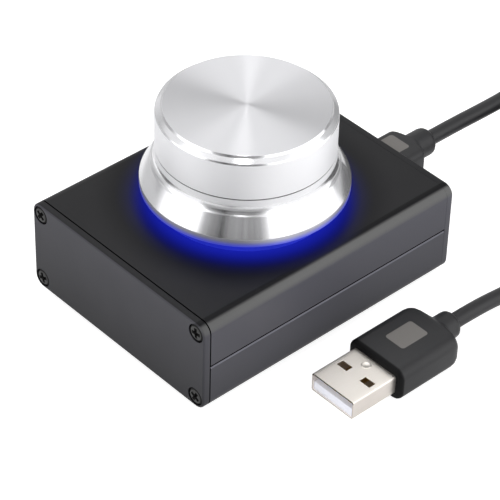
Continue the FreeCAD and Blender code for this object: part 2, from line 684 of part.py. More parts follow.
def make_jack():
    shell = new_body("usb_jack_shell")
    tube_shell(shell, "jack_width", "jack_height", "jack_wall", "jack_length", "micro_round",
               floor="jack_wall")
    keep(shell, "usb_jack_shell", x="plug_offset", y="jack_front - jack_length", z="plug_height")

    tongue = new_body("usb_jack_tongue")
    pad(tongue, rectangle(new_sketch(tongue, "XZ_Plane"), *centred("tongue_width", "tongue_height")),
        "tongue_length", backwards=True)
    keep(tongue, "usb_jack_tongue", x="plug_offset", y="jack_front - jack_length + jack_wall",
         z="plug_height")


def make_grip(kind):
    """A moulded grip along +Y with a round boss behind it and a seat for the plug's metal shell."""
    def size(name):
        return "%s_%s" % (kind, name)

    body = new_body(size("grip_body"))
    outline = rectangle(new_sketch(body, "XZ_Plane"), *centred(size("grip_width"), size("grip_height")))
    pad(body, outline, size("grip_length"), backwards=True)
    dress(body, "Fillet", size("grip_round"), lambda edge: runs_along(edge, Y_WAY))
    back = value(size("grip_length"))
    dress(body, "Fillet", size("shoulder"), lambda edge: near(edge.CenterOfMass.y, back))
    boss = circle(new_sketch(body, "XZ_Plane"), "0", "0", size("boss_radius"))
    pad(body, boss, "%s + %s" % (size("grip_length"), size("boss_length")), backwards=True)
    tip = back + value(size("boss_length"))
    dress(body, "Fillet", "boss_round", lambda edge: near(edge.CenterOfMass.y, tip))
    seat = rectangle(new_sketch(body, "XZ_Plane"), *centred(size("width"), size("height")))
    pocket(body, seat, size("embed"))
    return body


def make_micro_plug():
    """The small plug in the box's jack."""
    shell = new_body("micro_plug_shell")
    tube_shell(shell, "micro_width", "micro_height", "micro_wall",
               "micro_reach + grip_gap + micro_embed", "micro_round")
    keep(shell, "micro_plug_shell", x="plug_offset", y="grip_front - grip_gap - micro_reach",
         z="plug_height")

    keep(make_grip("micro"), "micro_plug_grip", x="plug_offset", y="grip_front", z="plug_height")


def make_usb_a_plug():
    middle = "usb_a_grip_height/2"
    shell = new_body("usb_a_shell")
    tube_shell(shell, "usb_a_width", "usb_a_height", "usb_a_wall", "usb_a_reach + usb_a_embed",
               "usb_a_round")
    windows = new_sketch(shell, "XY_Plane")
    for way in (-1, 1):
        left = "%d*window_side - window_width/2" % way
        right = "%d*window_side + window_width/2" % way
        rectangle(windows, left, "window_back - window_length/2", right,
                  "window_back + window_length/2")
    pocket(shell, windows, symmetric=True)
    keep(shell, "usb_a_shell", x="usb_a_side", y="-usb_a_front", z=middle)

    tongue = new_body("usb_a_tongue")
    bottom = "usb_a_wall - usb_a_height/2"
    side = "usb_a_width/2 - usb_a_wall - usb_a_tongue_fit"
    pad(tongue, rectangle(new_sketch(tongue, "XZ_Plane"), "-(%s)" % side, bottom, side,
                          bottom + " + usb_a_tongue_height"),
        "usb_a_reach + usb_a_embed - usb_a_tongue_recess", backwards=True)
    keep(tongue, "usb_a_tongue", x="usb_a_side", y="usb_a_tongue_recess - usb_a_front", z=middle)

    strip = new_body("usb_a_contact")
    pad(strip, rectangle(new_sketch(strip, "XY_Plane"), "-contact_width/2", "0", "contact_width/2",
                         "contact_length"), "contact_sheet")
    offsets = ["-contact_inner_pitch/2 - contact_pitch", "-contact_inner_pitch/2",
               "contact_inner_pitch/2", "contact_inner_pitch/2 + contact_pitch"]
    group("usb_a_contacts", strip,
          [("usb_a_side + %s" % offset, "contact_back - usb_a_front",
            "%s + %s + usb_a_tongue_height" % (middle, bottom), 0) for offset in offsets])

    keep(make_grip("usb_a"), "usb_a_grip", x="usb_a_side", y="usb_a_grip_front", z=middle)


# ---------------------------------------------------------------- lead

# The lead's route from the rear plug to the coil, and from the coil along the surface to the USB-A plug.
REAR_ROUTE = [(1.7, 53.8, 12.345), (1.7, 62.0, 12.345), (1.6, 71.0, 11.9), (1.3, 80.0, 11.5),
              (0.5, 89.0, 11.7), (0.0, 97.0, 12.25)]
FRONT_ROUTE = [(45.5, 97.0, 1.75), (45.1, 82.0, 1.75), (43.9, 65.5, 1.75), (42.8, 49.5, 1.8),
               (42.3, 37.5, 2.7), (42.4, 28.0, 4.0), (42.4, 20.5, 4.0)]
COIL_CENTRE = (22.75, 97.0)
BEND_SHARE = 0.45


def bend_radius(before, corner, after):
    """The tangent arc's radius at a corner of the route: as large as its two runs allow."""
    into, out = corner - before, after - corner
    half_turn = into.getAngle(out) / 2
    return BEND_SHARE * min(into.Length, out.Length) / math.tan(half_turn)


def tube_path(route):
    """Straight runs joined by tangent arcs."""
    points = [Vector(*point) for point in route]
    edges = []
    start = points[0]
    for before, corner, after in zip(points, points[1:], points[2:]):
        into, out = (corner - before).normalize(), (after - corner).normalize()
        reach = BEND_SHARE * min((corner - before).Length, (after - corner).Length)
        first, last = corner - into * reach, corner + out * reach
        inward = (out - into).normalize()
        radius = bend_radius(before, corner, after)
        half_turn = into.getAngle(out) / 2
        middle = corner + inward * (radius / math.cos(half_turn) - radius)
        edges.append(Part.LineSegment(start, first).toShape())
        edges.append(Part.Arc(first, middle, last).toShape())
        start = last
        print("bend radius %.1f mm" % radius)
    edges.append(Part.LineSegment(start, points[-1]).toShape())
    return Part.Wire(edges)


def cord_tube(label, route):
    path = tube_path(route)
    first = path.Edges[0]
    ring = Part.Circle(Vector(*route[0]), first.tangentAt(first.FirstParameter), value("cord_radius"))
    tube = doc.addObject("Part::Feature", label)
    tube.Shape = path.makePipeShell([Part.Wire(ring.toShape())], True, False)
    tube.Placement = Placement()
    tube.Label = label
    parts.append(tube)
    section = math.pi * value("cord_radius") ** 2
    print("%s %.1f mm long, volume over section times length %.4f"
          % (label, path.Length, tube.Shape.Volume / (section * path.Length)))


def make_lead():
    cord_tube("cord_rear", REAR_ROUTE)
    cord_tube("cord_front", FRONT_ROUTE)
    coil = new_body("cord_coil")
    inner = "coil_radius - coil_columns*cord_radius"
    outer = "coil_radius + coil_columns*cord_radius"
    high = "2*coil_layers*cord_radius"
    revolve(coil, [(inner, "0"), (outer, "0"), (outer, high), (inner, high)])
    dress(coil, "Fillet", "coil_round", lambda edge: isinstance(edge.Curve, Part.Circle))
    keep(coil, "cord_coil", x=str(COIL_CENTRE[0]), y=str(COIL_CENTRE[1]))


# ---------------------------------------------------------------- whole object

def write_parts():
    """Check every object of the document, then write each sub-part to its own file."""
    doc.recompute()
    for thing in doc.Objects:
        if "Invalid" in thing.State or "Error" in thing.State:
            raise ValueError("%s failed: %s" % (thing.Name, thing.State))
    for part in parts:
        if part.Shape.isNull() or not part.Shape.isValid():
            raise ValueError("%s has no valid shape" % part.Label)
    os.makedirs("parts", exist_ok=True)
    for part in parts:
        part.Shape.exportStep("parts/%s.step" % part.Label)
    print(len(parts), "sub-parts written")


make_shells()
end_plate("front_plate", -1)
end_plate("rear_plate", 1, slot=True)
make_screws()
make_feet()
make_board()
make_light()
make_board_parts()
make_encoder_housing()
make_bush()
make_encoder_movement()
make_knob()
make_jack()
make_micro_plug()
make_usb_a_plug()
make_lead()
write_parts()
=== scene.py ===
import math

import bmesh
import bpy
from mathutils import Matrix, Vector


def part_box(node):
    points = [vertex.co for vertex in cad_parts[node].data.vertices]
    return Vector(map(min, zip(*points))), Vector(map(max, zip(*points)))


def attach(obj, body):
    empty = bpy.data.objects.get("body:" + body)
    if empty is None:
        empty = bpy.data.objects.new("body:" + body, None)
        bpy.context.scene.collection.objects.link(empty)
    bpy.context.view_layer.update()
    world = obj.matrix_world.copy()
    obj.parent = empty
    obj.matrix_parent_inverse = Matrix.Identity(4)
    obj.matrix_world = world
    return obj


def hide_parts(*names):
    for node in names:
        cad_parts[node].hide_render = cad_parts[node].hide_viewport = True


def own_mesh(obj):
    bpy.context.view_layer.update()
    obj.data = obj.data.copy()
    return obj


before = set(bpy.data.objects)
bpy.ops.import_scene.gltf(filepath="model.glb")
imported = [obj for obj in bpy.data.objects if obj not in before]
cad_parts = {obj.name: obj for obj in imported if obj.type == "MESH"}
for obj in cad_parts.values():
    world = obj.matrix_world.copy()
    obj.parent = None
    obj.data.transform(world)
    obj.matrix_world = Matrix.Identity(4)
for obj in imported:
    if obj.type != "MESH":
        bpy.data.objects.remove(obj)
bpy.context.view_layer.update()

# Lengths are written in millimetres and made metres where they are used.
MM = 0.001
FULL_TURN = 2 * math.pi
QUARTER_TURN = math.pi / 2
X_WAY, Y_WAY, Z_WAY = Vector((1, 0, 0)), Vector((0, 1, 0)), Vector((0, 0, 1))


def metres(*point):
    """A point given in millimetres, in metres."""
    return Vector(point) * MM


def placed(name, data):
    """A new object of the scene that shows some data."""
    made = bpy.data.objects.new(name, data)
    bpy.context.scene.collection.objects.link(made)
    return made


# ---------------- camera

CAMERA_PLACE = metres(297.441, -278.301, 343.295)
CAMERA_LOOK = Vector((-0.562026, 0.529678, -0.635270))
CAMERA_ROLL = math.radians(1.715)
CAMERA_LENS_MM, CAMERA_SENSOR_MM = 178.30, 36
CAMERA_NEAR = 10


def make_camera():
    """A long lens on the right front corner, about 39 degrees above the table."""
    level = CAMERA_LOOK.cross(Z_WAY).normalized()
    steep = level.cross(CAMERA_LOOK)
    across = level * math.cos(CAMERA_ROLL) + steep * math.sin(CAMERA_ROLL)
    upward = steep * math.cos(CAMERA_ROLL) - level * math.sin(CAMERA_ROLL)
    camera = placed("camera", bpy.data.cameras.new("camera"))
    camera.data.lens = CAMERA_LENS_MM
    camera.data.sensor_width = CAMERA_SENSOR_MM
    camera.data.clip_start = CAMERA_NEAR * MM
    facing = Matrix((across, upward, -CAMERA_LOOK)).transposed()
    camera.matrix_world = Matrix.Translation(CAMERA_PLACE) @ facing.to_4x4()
    bpy.context.scene.camera = camera


make_camera()


# ---------------- lead

CORD_RADIUS = 1.75
# Steps of the cord's roundness, and of its line from one point to the next.
CORD_STEPS = 6
REAR_ROUTE = [(1.7, 53.8, 12.345), (1.7, 62.0, 12.345), (1.6, 71.0, 11.9), (1.3, 80.0, 11.5),
              (0.5, 89.0, 11.7)]
FRONT_ROUTE = [(45.1, 82.0, 1.75), (43.9, 65.5, 1.75), (42.8, 49.5, 1.8), (42.3, 37.5, 2.7),
               (42.4, 28.0, 4.0), (42.4, 20.5, 4.0)]

# The coil, seen from above, is wound clockwise from its left side at the top to its right side
# at the bottom: three turns across in each of four layers.
COIL_CENTRE = (22.75, 97.0)
COIL_TURNS = 10.5
POINTS_PER_TURN = 12
COIL_COLUMNS = (22.75, 19.25, 15.75)
COIL_LAYERS = (12.25, 8.75, 5.25, 1.75)
# Degrees that the coil has run at its first step, and that a step takes.
FIRST_STEP, STEP_WIDTH = 165, 30
# The spline runs inside its control points by this share of their radius.
SPLINE_DRAW_IN = 0.966


def coil_steps():
    """The coil's steps to the next column or layer, as (degrees run, way outward, way upward)."""
    columns = list(COIL_COLUMNS)
    places = []
    for height in COIL_LAYERS:
        places += [(radius, height) for radius in columns]
        columns.reverse()
    angle = FIRST_STEP
    was_drop = False
    steps = []
    for here, there in zip(places, places[1:]):
        is_drop = here[1] != there[1]
        if steps:
            angle += 360 - (STEP_WIDTH if is_drop or was_drop else 0)
        steps.append((angle, there[0] - here[0], there[1] - here[1]))
        was_drop = is_drop
    return steps


def coil_route():
    """The control points of the coil's turns."""
    steps = coil_steps()
    points = []
    for number in range(int(COIL_TURNS * POINTS_PER_TURN) + 1):
        run = number * 360 / POINTS_PER_TURN
        radius, height = COIL_COLUMNS[0], COIL_LAYERS[0]
        for angle, outward, upward in steps:
            share = min(max((run - angle) / STEP_WIDTH, 0), 1)
            radius += outward * share
            height += upward * share
        radius /= SPLINE_DRAW_IN
        heading = math.radians(180 - run)
        points.append((COIL_CENTRE[0] + radius * math.cos(heading),
                       COIL_CENTRE[1] + radius * math.sin(heading), height))
    return points


def make_cord(finish):
    """The whole lead on one smooth line, from the small plug round the coil to the large plug."""
    line = bpy.data.curves.new("lead_cord", "CURVE")
    line.dimensions = "3D"
    line.bevel_depth = CORD_RADIUS * MM
    line.bevel_resolution = CORD_STEPS
    line.resolution_u = CORD_STEPS
    line.use_fill_caps = True
    route = REAR_ROUTE + coil_route() + FRONT_ROUTE
    spline = line.splines.new("NURBS")
    spline.points.add(len(route) - 1)
    for place, point in zip(spline.points, route):
        place.co = (*metres(*point), 1)
    spline.order_u = 3
    spline.use_endpoint_u = True
    line.materials.append(finish)
    cord = placed("lead_cord", line)
    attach(cord, "lead")
    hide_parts("cord_rear", "cord_coil", "cord_front")
    return cord


# ---------------- shader maths

def operator(operation):
    """A method of Shade's that adds one Math node, on the shade and what the method is given."""
    def method(self, *others):
        return self.maths(operation, self, *others)
    return method


class Shade:
    """A number that varies over a surface. Expressions on it add their Math nodes."""

    def __init__(self, tree, socket):
        self.tree = tree
        self.socket = socket

    def maths(self, operation, *values):
        """A Math node on some shades and plain numbers."""
        node = self.tree.nodes.new("ShaderNodeMath")
        node.operation = operation
        for socket, value in zip(node.inputs, values):
            plug(self.tree, value, socket)
        return Shade(self.tree, node.outputs[0])

    __add__ = __radd__ = operator("ADD")
    __mul__ = __rmul__ = operator("MULTIPLY")
    __sub__ = operator("SUBTRACT")
    __truediv__ = operator("DIVIDE")
    __pow__ = operator("POWER")
    __abs__ = operator("ABSOLUTE")
    root = operator("SQRT")
    at_least = operator("MAXIMUM")

    def __rsub__(self, other):
        return self.maths("SUBTRACT", other, self)

    def __neg__(self):
        return self * -1

    def swing(self, span):
        """A noise from 0 to 1 as a swing of that span, as far below nothing as above it."""
        return (self - 0.5) * span

    def toward(self, share, other):
        """The number moved by a share of the way to another."""
        return self + share * (other - self)


def plug(tree, value, socket):
    """Links a shade to a socket, or sets the socket to a plain value."""
    if isinstance(value, Shade):
        tree.links.new(value.socket, socket)
    else:
        socket.default_value = value


# A Mix node's sockets for colours, by number because others have the same names.
MIX_SHARE, MIX_LOW, MIX_HIGH, MIX_COLOUR = 0, 6, 7, 2


class Bench:
    """A node tree at work: every node but the maths comes from its node method."""

    def __init__(self, tree):
        self.tree = tree

    def node(self, kind, settings=None, sockets=None, output=0):
        """A node, its settings made before its sockets are filled. Gives one of its outputs."""
        made = self.tree.nodes.new("ShaderNode" + kind)
        for name, value in (settings or {}).items():
            setattr(made, name, value)
        for name, value in (sockets or {}).items():
            plug(self.tree, value, made.inputs[name])
        return Shade(self.tree, made.outputs[output])

    def smooth(self, value, start, end):
        """0 before start and 1 after end, with a soft step between them."""
        return self.node("MapRange", {"interpolation_type": "SMOOTHSTEP"},
                         {"Value": value, "From Min": start, "From Max": end})

    def before(self, value, start, end):
        """1 before start and 0 after end, with a soft step between them."""
        return 1 - self.smooth(value, start, end)

    def within(self, value, start, full, fade, end):
        """1 from full to fade, and 0 before start and after end, with soft steps between them."""
        return self.smooth(value, start, full) * self.before(value, fade, end)

    def mix(self, share, low, high):
        """A colour between two others."""
        return self.node("Mix", {"data_type": "RGBA"},
                         {MIX_SHARE: share, MIX_LOW: low, MIX_HIGH: high}, output=MIX_COLOUR)

    def bands(self, value, size, detail=2):
        """Noise from 0 to 1 along one value, in bands of that size."""
        return self.node("TexNoise", {"noise_dimensions": "1D"},
                         {"W": value / size, "Scale": 1, "Detail": detail})


class Finish(Bench):
    """The material of a finish, with its principled shader."""

    def __init__(self, name, **constants):
        self.material = bpy.data.materials.new(name)
        self.material.use_nodes = True
        super().__init__(self.material.node_tree)
        self.shader = self.tree.nodes["Principled BSDF"]
        self.lay(**constants)
        self.place = self.node("TexCoord", output="Object")

    def axis(self, letter):
        """The point's X, Y or Z in millimetres."""
        return self.node("SeparateXYZ", sockets={"Vector": self.place}, output=letter) / MM

    def radius(self):
        """How far the point is from the knob's upright axis, in millimetres."""
        x, y = self.axis("X"), self.axis("Y")
        return (x * x + y * y).root()

    def grain(self, size, detail=3, stretch=(1, 1, 1)):
        """Noise from 0 to 1 whose spots are that many millimetres across."""
        across = Vector(1 / (size * MM * share) for share in stretch)
        place = self.node("Mapping", {"vector_type": "POINT"},
                          {"Vector": self.place, "Scale": across})
        return self.node("TexNoise", sockets={"Vector": place, "Scale": 1, "Detail": detail})

    def relief(self, height, depth):
        """A bump of that many millimetres."""
        return self.node("Bump", sockets={"Height": height, "Strength": 1, "Distance": depth * MM})

    def paint_shade_over(self, share, **sockets):
        """Lays a matt black second shader over the finish by share, as painted shade. Fills its
        sockets, such as those of a painted glow.
        """
        constants = {"Base Color": BLACK, "Roughness": 1, "Specular IOR Level": 0}
        constants.update((name.replace("_", " "), value) for name, value in sockets.items())
        skin = self.node("BsdfPrincipled", sockets=constants)
        under = Shade(self.tree, self.shader.outputs[0])
        both = self.node("MixShader", sockets={0: share, 1: under, 2: skin})
        plug(self.tree, both, self.tree.nodes["Material Output"].inputs["Surface"])

    def lay(self, **sockets):
        """Fills the shader's sockets and gives the material."""
        for name, value in sockets.items():
            plug(self.tree, value, self.shader.inputs[name.replace("_", " ")])
        return self.material


def grey(level, tint=(1, 1, 1)):
    """A grey of that level, or a tinted one."""
    return (level * tint[0], level * tint[1], level * tint[2], 1)


BLACK = grey(0)


# ---------------- sizes of the case and the plugs

# Middles are (x, z), seen from the front. The split between the shells is at the case's middle.
CASE_MIDDLE = (0, 12.5)
CASE_HALF_WIDTH, CASE_HALF_HEIGHT, CASE_CORNER = 27.0, 11.0, 2.4
PLATE_FACE = 35.0
USB_A_MIDDLE = (42.4, 4.0)
MICRO_MIDDLE = (1.7, 12.345)
SHELL_LOW, SHELL_HIGH = (36.4, -14.0, 1.75), (48.4, 1.2, 6.25)
SHELL_HALF_WIDTH = (SHELL_HIGH[0] - SHELL_LOW[0]) / 2
MOUTH_Y = SHELL_LOW[1]


# ---------------- plastics and plain metals

PVC_DARK, PVC_LIGHT = grey(0.012, (1, 1, 1.1)), grey(0.024, (1, 1, 1.1))


def moulded(name, dark, light, rough, size, depth, **constants):
    """Moulded plastic or rubber: cloudy colour, and the fine spark texture of its mould."""
    finish = Finish(name, **constants)
    cloud = finish.grain(size * 25)
    spark = finish.grain(size)
    return finish.lay(Base_Color=finish.mix(cloud * 0.6 + spark * 0.4, dark, light),
                      Roughness=rough + cloud.swing(0.16) + spark.swing(0.1),
                      Normal=finish.relief(spark, depth))


def worked_metal(name, dark, light, rough, size, depth, stretch=(1, 1, 1)):
    """Bare or plated metal with drawn scratches along the way it was worked."""
    finish = Finish(name, Metallic=1.0)
    scratch = finish.grain(size, detail=4, stretch=stretch)
    stain = finish.grain(2.5)
    return finish.lay(Base_Color=finish.mix(scratch * 0.5 + stain * 0.5, dark, light),
                      Roughness=rough + scratch.swing(0.2) + stain.swing(0.1),
                      Normal=finish.relief(scratch, depth))


# ---------------- anodised case

ANODISED_TINT = (1, 0.99, 1.2)
# The anodising's darkest and lightest grey on the top. Then lighter copies of it as painted light:
# on the end faces and by the long edges, and on the sides, and a painted highlight on the right
# top edge's round. Then the grey of the painted highlight on the lower shell's edge.
DYE_TOP, LIT_END_AND_EDGE_GREYS = (0.0045, 0.0095), (0.045, 0.057)
LIT_SIDE_GREYS, ROUND_HIGHLIGHT_GREYS = (0.076, 0.093), (0.105, 0.127)
SPLIT_HIGHLIGHT_GREY = 0.16
# Soft steps over the case, in millimetres: (start, full, fade, end), or (start, end).
# Painted shade on the front plate's seam and over the split, and a painted highlight under it.
FRONT_SEAM_SHADE = (33.1, 33.16, 33.4, 33.44)
SPLIT_SHADOW, SPLIT_HIGHLIGHT = (12.46, 12.5, 12.96, 13.04), (12.14, 12.2, 12.42, 12.46)
# Painted light on the long edges, end faces and sides; less on the front plate and toward the
# front.
LONG_EDGES, END_FACES = (25.8, 27.0), (34.7, 34.9)
SIDE_FACES, FRONT_PLATE, SIDE_FRONT = (26.7, 26.9), (33.2, 33.3), (-34, -8)
# Along the long right top edge x + z grows over the round, and x - z from the top to the side.
# There a painted shade line runs at the top of the round, and a painted highlight over the round.
BROW_SHADE, BROW_SHADE_RISE = (0.5, 1.0, 1.7, 2.3), (22.2, 22.8)
ROUND_OUT, ROUND_DOWN = (48.1, 49.05), (1.8, 2.9)
# The light ring's painted glow on the top, and the knob's painted shade round it, by radius.
TOP_FACE = (23.0, 23.4)
GLOW_REACH, SHADE_REACH = (18.6, 27.9), (24.4, 33.0)
GLOW_COLOUR = (0.009, 0.015, 0.4, 1)


def anodised(name, split=False, glow=False):
    """Black anodising on blasted aluminium: a fine even grain, and faint rub marks in its gloss.

    The upright faces and the long edges are painted lighter greys as light, the more so higher up,
    and the right top edge's round has a painted highlight, with a painted shade line at its top.
    The front plate's seam and the split are painted dark as shade, with a painted highlight under
    the split. The top that the knob stands on has the light ring's painted glow, and the knob's
    painted shade round it."""
    finish = Finish(name, Specular_IOR_Level=0.26)
    grit = finish.grain(0.16, detail=2)
    rubbed = finish.grain(9, detail=4, stretch=(1, 3, 1))
    x, y, z = [finish.axis(letter) for letter in "XYZ"]

    def grit_between(greys, tint=ANODISED_TINT):
        return finish.mix(grit, grey(greys[0], tint), grey(greys[1], tint))

    # Painted shade: a dark line at the right top edge, and the front plate's seam.
    brow_shade = finish.within(x - z, *BROW_SHADE)
    painted_shade = finish.within(-y, *FRONT_SEAM_SHADE).at_least(brow_shade * finish.smooth(z, *BROW_SHADE_RISE) * 0.4)
    # Painted light: end faces, long edges and sides are lighter greys, the more so higher up.
    lit_ends_and_edges = finish.smooth(abs(x), *LONG_EDGES).at_least(finish.smooth(abs(y), *END_FACES))
    side_light_share = finish.smooth(y, *SIDE_FRONT) * 0.3 + 0.7
    side_light_share = side_light_share * (1 - finish.smooth(-y, *FRONT_PLATE) * 0.5)
    side = finish.smooth(abs(x), *SIDE_FACES) * (z / 40 + 0.3) * side_light_share
    # Painted highlight on the right top edge's round.
    edge_highlight = finish.smooth(x + z, *ROUND_OUT) * finish.smooth(x - z, *ROUND_DOWN)
    base = finish.mix(lit_ends_and_edges * (z / 26 + 0.1), grit_between(DYE_TOP), grit_between(LIT_END_AND_EDGE_GREYS))
    base = finish.mix(side, base, grit_between(LIT_SIDE_GREYS))
    base = finish.mix(edge_highlight * (side_light_share * 0.5 + 0.5), base, grit_between(ROUND_HIGHLIGHT_GREYS, tint=(1, 1, 1)))
    if split:
        # Painted shade over the split, and a painted highlight under it.
        painted_shade = painted_shade.at_least(finish.within(z, *SPLIT_SHADOW))
        base = finish.mix(finish.within(z, *SPLIT_HIGHLIGHT), base, grey(SPLIT_HIGHLIGHT_GREY, ANODISED_TINT))
    if glow:
        # Painted glow of the light ring round the knob, and painted shade of the knob round that.
        on_top = finish.smooth(z, *TOP_FACE)
        lit = finish.before(finish.radius(), *GLOW_REACH) * on_top
        shade = finish.before(finish.radius(), *SHADE_REACH) * on_top * 0.3
        finish.paint_shade_over(painted_shade.at_least(lit).at_least(shade), Emission_Strength=1,
                     Emission_Color=finish.mix(lit ** 1.2, BLACK, GLOW_COLOUR))
    else:
        finish.paint_shade_over(painted_shade)
    return finish.lay(Base_Color=base, Roughness=0.45 + rubbed.swing(0.12) + grit.swing(0.1),
                      Normal=finish.relief(grit, 0.004))


# ---------------- turned knob and its light

# A quarter turn: the gloss of turned metal spreads across its tool lines.
ACROSS_LINES = 0.25
# How far apart the tool lines are, and how much they go by radius too, for the sloping parts.
LINE_SIZE, LINE_SLOPE = 0.07, 0.6
# Soft steps by height: the neck's satin part, the groove over it, painted dark as shade, and the
# foot of the rim, painted with the light ring's blue glow.
NECK_SATIN, NECK_GROOVE, RIM_FOOT = (34.6, 35.5), (36.4, 36.46), (27.1, 28.7)
LAMPS = 8


def aluminium(finish, lines, darkest, lightest):
    """Bare aluminium, very slightly cool, between two greys by its tool lines."""
    return finish.mix(lines, grey(darkest, (1, 1, 1.02)), grey(lightest, (1, 1, 1.03)))


def tool_lines(finish):
    """The fine lines that run round the knob's turned side."""
    return finish.bands(finish.axis("Z") + finish.radius() * LINE_SLOPE, LINE_SIZE)


def turned_face():
    """The spun top of the knob: fine rings whose gloss fans out from the middle."""
    finish = Finish("turned_face", Metallic=1.0, Anisotropic=0.93,
                    Anisotropic_Rotation=ACROSS_LINES)
    fine = finish.bands(finish.radius(), 0.09)
    broad = finish.bands(finish.radius(), 2.5)
    return finish.lay(Base_Color=aluminium(finish, fine, 0.79, 0.85),
                      Roughness=0.47 + fine.swing(0.06) + broad.swing(0.03),
                      Normal=finish.relief(fine, 0.0005))


def turned_side(name, rough, anisotropic, depth, metallic, level=0.85):
    """Turned aluminium round the side of the knob: tool lines that run round it."""
    finish = Finish(name, Metallic=metallic, Anisotropic=anisotropic,
                    Anisotropic_Rotation=ACROSS_LINES)
    line = tool_lines(finish)
    cloud = finish.grain(4)
    return finish.lay(Base_Color=aluminium(finish, line, level, level + 0.08),
                      Roughness=rough + line.swing(0.1) + cloud.swing(0.05),
                      Normal=finish.relief(line, depth))


def turned_neck():
    """The hollow over the skirt is polished, the short neck above satin, and a groove ends it.

    The groove is painted dark grey as shade.
    """
    finish = Finish("turned_neck", Anisotropic=0.6, Anisotropic_Rotation=ACROSS_LINES)
    line = tool_lines(finish)
    satin = finish.smooth(finish.axis("Z"), *NECK_SATIN)
    groove = finish.smooth(finish.axis("Z"), *NECK_GROOVE)
    bare = aluminium(finish, line, 0.86, 0.94)
    # The groove is painted dark grey as shade.
    return finish.lay(Base_Color=finish.mix(groove, bare, grey(0.09)), Metallic=0.9 - satin * 0.55,
                      Roughness=0.17 + satin * 0.32 + line.swing(0.06),
                      Normal=finish.relief(line, 0.0008))


def lit_rim():
    """The upright rim of the skirt, satin, with the light ring's painted blue reflection and glow.

    Both are strongest at its foot; higher up the bare metal is painted faintly blue.
    """
    finish = Finish("lit_rim", Metallic=0.6, Anisotropic=0.5, Anisotropic_Rotation=ACROSS_LINES,
                    Emission_Strength=1)
    line = finish.bands(finish.axis("Z"), LINE_SIZE)
    # Painted blue reflection and glow of the light ring, strongest at the rim's foot.
    low = finish.before(finish.axis("Z"), *RIM_FOOT)
    bare = finish.mix(line, grey(0.55, (1, 1, 1.1)), grey(0.63, (1, 1, 1.12)))
    return finish.lay(Base_Color=finish.mix(low, bare, (0.2, 0.22, 0.55, 1)),
                      Roughness=0.34 + line.swing(0.08),
                      Emission_Color=finish.mix(low ** 1.5, BLACK, (0.012, 0.02, 0.4, 1)),
                      Normal=finish.relief(line, 0.0008))


def frosted_light():
    """The light ring: milky plastic lit blue from inside, brighter over each of its lamps."""
    finish = Finish("frosted_light", Roughness=0.5, Emission_Strength=1)
    x, y = finish.axis("X"), finish.axis("Y")
    heading = y.maths("ARCTAN2", y, x)
    lamps = heading.maths("COSINE", heading * LAMPS) * 0.5 + 0.5
    haze = finish.grain(0.8)
    return finish.lay(Base_Color=finish.mix(haze, (0.02, 0.03, 0.3, 1), (0.03, 0.05, 0.4, 1)),
                      Emission_Color=finish.mix(lamps * 0.6 + haze * 0.4, (0.004, 0.008, 0.26, 1),
                                                (0.007, 0.012, 0.36, 1)))


# ---------------- plugs and board

LABEL_CORNER, LABEL_BLUR = 0.7, 0.08


def label_plastic(name, centre, half, top, front):
    """The black sheath of a plug's grip, with a bare grey label field printed on its upper face.

    Its front face is painted dark as shade."""
    finish = Finish(name, Specular_IOR_Level=0.4)
    x, y, z = [finish.axis(letter) for letter in "XYZ"]
    spark = finish.grain(0.14)
    cloud = finish.grain(3.5)
    over_x = (abs(x - centre[0]) - (half[0] - LABEL_CORNER)).at_least(0)
    over_y = (abs(y - centre[1]) - (half[1] - LABEL_CORNER)).at_least(0)
    reach = (over_x * over_x + over_y * over_y).root() - LABEL_CORNER
    label = finish.before(reach, -LABEL_BLUR, LABEL_BLUR) * finish.smooth(z, top - 0.6, top - 0.5)
    sheath = finish.mix(cloud * 0.5 + spark * 0.5, PVC_DARK, PVC_LIGHT)
    field = finish.mix(spark, (0.15, 0.143, 0.135, 1), (0.195, 0.185, 0.175, 1))
    # Painted shade over the grip's front face.
    finish.paint_shade_over(finish.before(y, front + 0.5, front + 1.1) * 0.7)
    return finish.lay(Base_Color=finish.mix(label, sheath, field),
                      Roughness=0.46 + cloud.swing(0.12) + label * 0.12,
                      Normal=finish.relief(spark * (1 - label * 0.6) + label * 4, 0.006))


def plated_shell():
    """The large plug's nickel, painted darker on its folded sides as shade, and on its cut edge.

    The painted shade on the sides is deepest by the mouth, and on the cut edge along its top."""
    finish = Finish("nickel_shell", Metallic=1.0)
    x, y, z = [finish.axis(letter) for letter in "XYZ"]
    grain = finish.grain(0.3, stretch=(1, 9, 1))
    smudge = finish.grain(4)
    side = finish.smooth(abs(x - USB_A_MIDDLE[0]), SHELL_HALF_WIDTH - 0.25, SHELL_HALF_WIDTH - 0.05)
    # Painted shade: the sides are a darker copy of the nickel, deepest by the mouth.
    side_shade = side * (0.9 - finish.smooth(y, MOUTH_Y + 3, MOUTH_Y + 13) * 0.4)
    cut = finish.before(y, MOUTH_Y + 0.04, MOUTH_Y + 0.12)
    top = finish.mix(grain, (0.96, 0.9, 0.83, 1), (1, 0.96, 0.9, 1))
    folded = finish.mix(grain, (0.66, 0.61, 0.57, 1), (0.74, 0.69, 0.65, 1))
    # Painted shade on the cut edge, darkest along its top.
    rim = finish.mix(finish.smooth(z, 5.6, 5.9), (0.62, 0.57, 0.53, 1), (0.08, 0.068, 0.056, 1))
    return finish.lay(Base_Color=finish.mix(cut, finish.mix(side_shade, top, folded), rim),
                      Roughness=0.41 + grain.swing(0.1) + smudge.swing(0.1),
                      Normal=finish.relief(grain, 0.0004))


